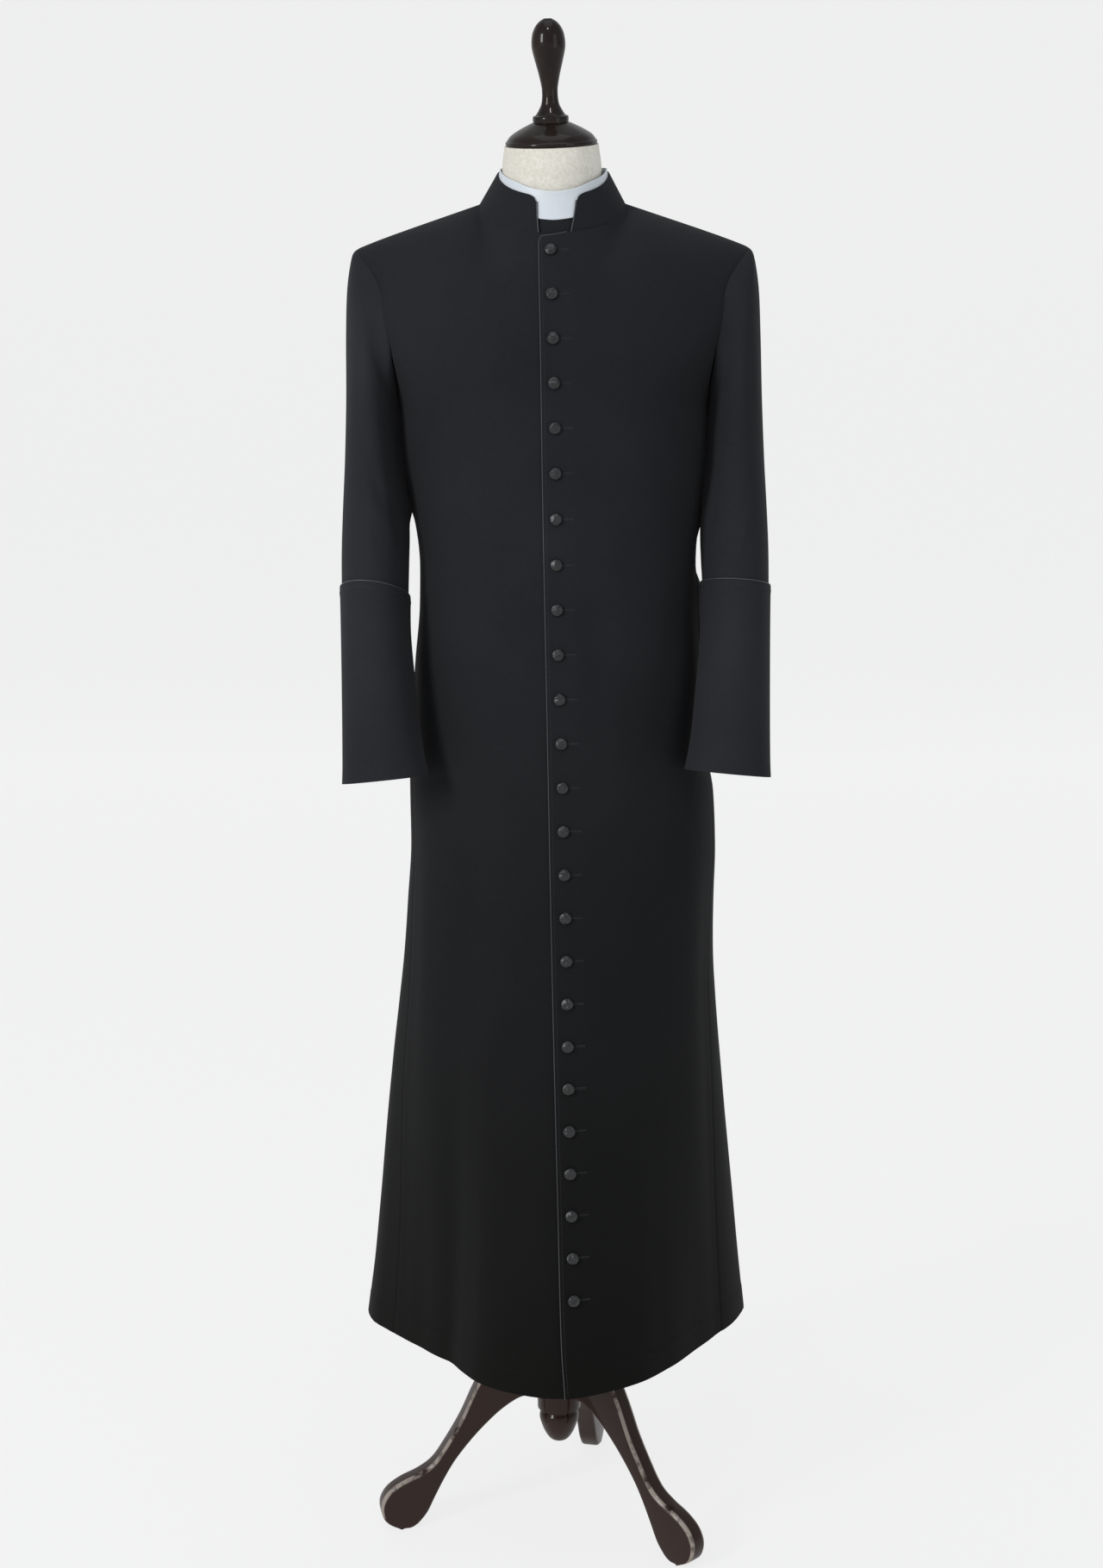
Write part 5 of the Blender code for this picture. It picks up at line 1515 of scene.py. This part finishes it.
def buildStitchTree():
    # short threads laid end to end along every path
    tree = bpy.data.node_groups.new("stitches", "GeometryNodeTree")
    tree.interface.new_socket(name="Geometry", in_out="INPUT", socket_type="NodeSocketGeometry")
    sizes = {}
    for name, value in (("Spacing", 0.004), ("Stitch Length", 0.0026), ("Stitch Width", 0.0007)):
        socket = tree.interface.new_socket(name=name, in_out="INPUT", socket_type="NodeSocketFloat")
        socket.default_value = value
        sizes[name] = socket.identifier
    tree.interface.new_socket(name="Geometry", in_out="OUTPUT", socket_type="NodeSocketGeometry")
    given = tree.nodes.new("NodeGroupInput")
    result = tree.nodes.new("NodeGroupOutput")
    spread = tree.nodes.new("GeometryNodeCurveToPoints")
    spread.mode = "LENGTH"
    ball = tree.nodes.new("GeometryNodeMeshUVSphere")
    ball.inputs["Segments"].default_value = 6
    ball.inputs["Rings"].default_value = 4
    ball.inputs["Radius"].default_value = 0.5
    size = tree.nodes.new("ShaderNodeCombineXYZ")
    place = tree.nodes.new("GeometryNodeInstanceOnPoints")
    real = tree.nodes.new("GeometryNodeRealizeInstances")
    finish = tree.nodes.new("GeometryNodeSetMaterial")
    finish.inputs["Material"].default_value = thread
    tree.links.new(given.outputs["Geometry"], spread.inputs["Curve"])
    tree.links.new(given.outputs["Spacing"], spread.inputs["Length"])
    for axis in ("X", "Y"):
        tree.links.new(given.outputs["Stitch Width"], size.inputs[axis])
    tree.links.new(given.outputs["Stitch Length"], size.inputs["Z"])
    tree.links.new(spread.outputs["Points"], place.inputs["Points"])
    tree.links.new(spread.outputs["Rotation"], place.inputs["Rotation"])
    tree.links.new(ball.outputs["Mesh"], place.inputs["Instance"])
    tree.links.new(size.outputs["Vector"], place.inputs["Scale"])
    tree.links.new(place.outputs["Instances"], real.inputs["Geometry"])
    tree.links.new(real.outputs["Geometry"], finish.inputs["Geometry"])
    tree.links.new(finish.outputs["Geometry"], result.inputs["Geometry"])
    return tree, sizes


stitchTree, stitchSizes = buildStitchTree()


def stitchPiece(name, paths, spacing, length, width, slotName="cassock_wool"):
    curve = bpy.data.curves.new(name, "CURVE")
    curve.dimensions = "3D"
    for path in paths:
        spline = curve.splines.new("POLY")
        spline.points.add(len(path) - 1)
        for point, place in zip(spline.points, path):
            point.co = (*place, 1)
    guide = bpy.data.objects.new(name + "_guide", curve)
    bpy.context.scene.collection.objects.link(guide)
    modifier = guide.modifiers.new("stitches", "NODES")
    modifier.node_group = stitchTree
    for key, value in (("Spacing", spacing), ("Stitch Length", length), ("Stitch Width", width)):
        modifier[stitchSizes[key]] = value
    bpy.context.view_layer.update()
    found = guide.evaluated_get(bpy.context.evaluated_depsgraph_get())
    mesh = bpy.data.meshes.new_from_object(found)
    mesh.name = name
    guide.modifiers.clear()
    bpy.data.objects.remove(guide, do_unlink=True)
    piece = newPiece(name, mesh)
    if not mesh.materials:
        mesh.materials.append(thread)
    shadeSmooth(mesh, 80)
    return setPiece(piece)


# places on the left front's dressed surface
leftOuter = panels["front_left"]["outer"]
leftRows = panels["front_left"]["rows"]


def onLeftFront(row, fromEdge, lift=0.0):
    # a point this far along the cloth from the front edge
    i = min(max(int(np.searchsorted(leftRows, row)), 1), len(leftRows) - 1)
    blend = (row - leftRows[i - 1]) / (leftRows[i] - leftRows[i - 1])
    line = leftOuter[i - 1] * (1 - blend) + leftOuter[i] * blend
    run = np.concatenate([[0], np.cumsum(np.linalg.norm(np.diff(line, axis=0), axis=1))])
    place = np.array([np.interp(fromEdge, run, line[:, axis]) for axis in range(3)])
    normal = panels["front_left"]["normals"][i, int(np.searchsorted(run, fromEdge))]
    return place + normal * lift


# from one stitch to the next, its length and its width
stitchSize = (0.0034, 0.0022, 0.00055)
edgePath = [onLeftFront(row, 0.0032, 0.00005) for row in np.linspace(0.004, 1.985, 340)]
frontStitches = stitchPiece("front_edge_stitches", [edgePath], *stitchSize)
cuffPaths = []
for word, (outer, normals) in cuffRims.items():
    run = np.concatenate([[0], np.cumsum(np.linalg.norm(np.diff(outer, axis=0), axis=2).mean(axis=1))])
    i = int(np.searchsorted(run, 0.0038))
    loop = outer[i] + normals[i] * 0.00005
    cuffPaths.append(np.concatenate([loop, loop[:1]]))
stitchPiece("cuff_stitches", cuffPaths, *stitchSize)
hemPaths = []
for name in ("front_right", "back_left", "back_right", "front_left"):
    panel = panels[name]
    heights = panel["outer"][:, :, 2]
    i = int(np.searchsorted(heights[:, 5], cassock["hemHeight"] + 0.025))
    line = panel["outer"][i] + panel["normals"][i] * 0.00002
    hemPaths.append(line[2:-1])
hemStitches = stitchPiece("hem_stitches", hemPaths, 0.0055, 0.0012, 0.0004)

# buttonholes: close stitches round a slit beside each button
hole = {"start": 0.0080, "end": 0.0212, "half": 0.0007, "steps": 10}
holePaths = []
for point, normal in buttonSeats:
    row = rowAtHeight(point.z)
    atButton = (point - panelPoint(frontEdgeShare(row), row, False)).length
    middle = onLeftFront(row, atButton + hole["start"], 0.0001)
    end = onLeftFront(row, atButton + hole["end"], 0.0001)
    up = np.array(tuple(normal.cross(Vector(end - middle)).normalized())) * hole["half"]
    loop = [middle + (end - middle) * i / hole["steps"] + up for i in range(hole["steps"] + 1)]
    loop += [end + (middle - end) * i / hole["steps"] - up for i in range(hole["steps"] + 1)]
    holePaths.append(loop + loop[:1])
holes = stitchPiece("buttonhole_stitches", holePaths, 0.0008, 0.0007, 0.0009)
print("stitches made")

# studio: a pale sweep, even light and a soft key from the upper left
stageSizes = {"half": 14.0, "back": 9.0, "front": -12.0, "height": 11.0, "bend": 2.4}


def sweepMesh():
    profile = [(stageSizes["front"], 0.0)]
    for step in range(13):
        turn = math.pi / 2 * step / 12
        y = stageSizes["back"] - stageSizes["bend"] + stageSizes["bend"] * math.sin(turn)
        profile.append((y, stageSizes["bend"] * (1 - math.cos(turn))))
    profile.append((stageSizes["back"], stageSizes["height"]))
    points = [(x, y, z) for y, z in profile for x in (-stageSizes["half"], stageSizes["half"])]
    faces = [(2 * i, 2 * i + 1, 2 * i + 3, 2 * i + 2) for i in range(len(profile) - 1)]
    mesh = bpy.data.meshes.new("sweep")
    mesh.from_pydata(points, [], faces)
    mesh.polygons.foreach_set("use_smooth", [True] * len(mesh.polygons))
    return mesh


paper, paperTree, paperShader = newMaterial("backdropPaper", 0.9, Emission_Strength=1.0)
place = paperTree.nodes.new("ShaderNodeTexCoord")
tone = contrast(paperTree, noiseNode(paperTree, place.outputs["Object"], 1.5), 0.0, 1.0)
paperColour = mixColours(paperTree, tone, (0.080, 0.080, 0.080), (0.084, 0.084, 0.084))
paperTree.links.new(paperColour, paperShader.inputs["Base Color"])
paperShader.inputs["Emission Color"].default_value = (0.790, 0.790, 0.790, 1)
newPiece("backdrop_sweep", sweepMesh(), paper)

world = bpy.data.worlds.new("studio")
bpy.context.scene.world = world
world.use_nodes = True
sky = world.node_tree.nodes["Background"]
sky.inputs["Color"].default_value = (0.90, 0.95, 1.0, 1)
sky.inputs["Strength"].default_value = 0.55
seen = world.node_tree.nodes.new("ShaderNodeBackground")  # past the paper's edges
seen.inputs["Color"].default_value = (0.87, 0.87, 0.87, 1)
rays = world.node_tree.nodes.new("ShaderNodeLightPath")
either = world.node_tree.nodes.new("ShaderNodeMixShader")
world.node_tree.links.new(rays.outputs["Is Camera Ray"], either.inputs["Fac"])
world.node_tree.links.new(sky.outputs["Background"], either.inputs[1])
world.node_tree.links.new(seen.outputs["Background"], either.inputs[2])
world.node_tree.links.new(either.outputs["Shader"], world.node_tree.nodes["World Output"].inputs["Surface"])

Lamp = namedtuple("Lamp", "name x y z sizeX sizeY power")
for lamp in (
    Lamp("key", -2.6, -2.6, 2.3, 0.8, 1.5, 84),
    Lamp("fill", 2.6, -2.4, 1.8, 1.4, 2.4, 12),
    Lamp("top", 0.0, -0.4, 4.2, 2.0, 2.0, 12),
    Lamp("glint", -0.1, -2.1, 3.9, 0.25, 0.3, 12),
):
    light = bpy.data.lights.new(lamp.name, "AREA")
    light.shape = "RECTANGLE"
    light.size, light.size_y = lamp.sizeX, lamp.sizeY
    light.energy = lamp.power
    holder = bpy.data.objects.new(lamp.name, light)
    holder.location = (lamp.x, lamp.y, lamp.z)
    holder.rotation_euler = (Vector((0, 0, 1.1)) - holder.location).to_track_quat("-Z", "Y").to_euler()
    bpy.context.scene.collection.objects.link(holder)

camera = bpy.data.cameras.new("camera")
camera.lens = 53.9
camera.sensor_width = 36
eye = bpy.data.objects.new("camera", camera)
eye.matrix_world = (
    Matrix.Translation((-0.0052, -2.9, 1.45))
    @ Matrix.Rotation(math.radians(80.6), 4, "X")
    @ Matrix.Rotation(math.radians(-0.33), 4, "Z")
)
bpy.context.scene.collection.objects.link(eye)
bpy.context.scene.camera = eye
bpy.context.scene.view_settings.view_transform = "Standard"
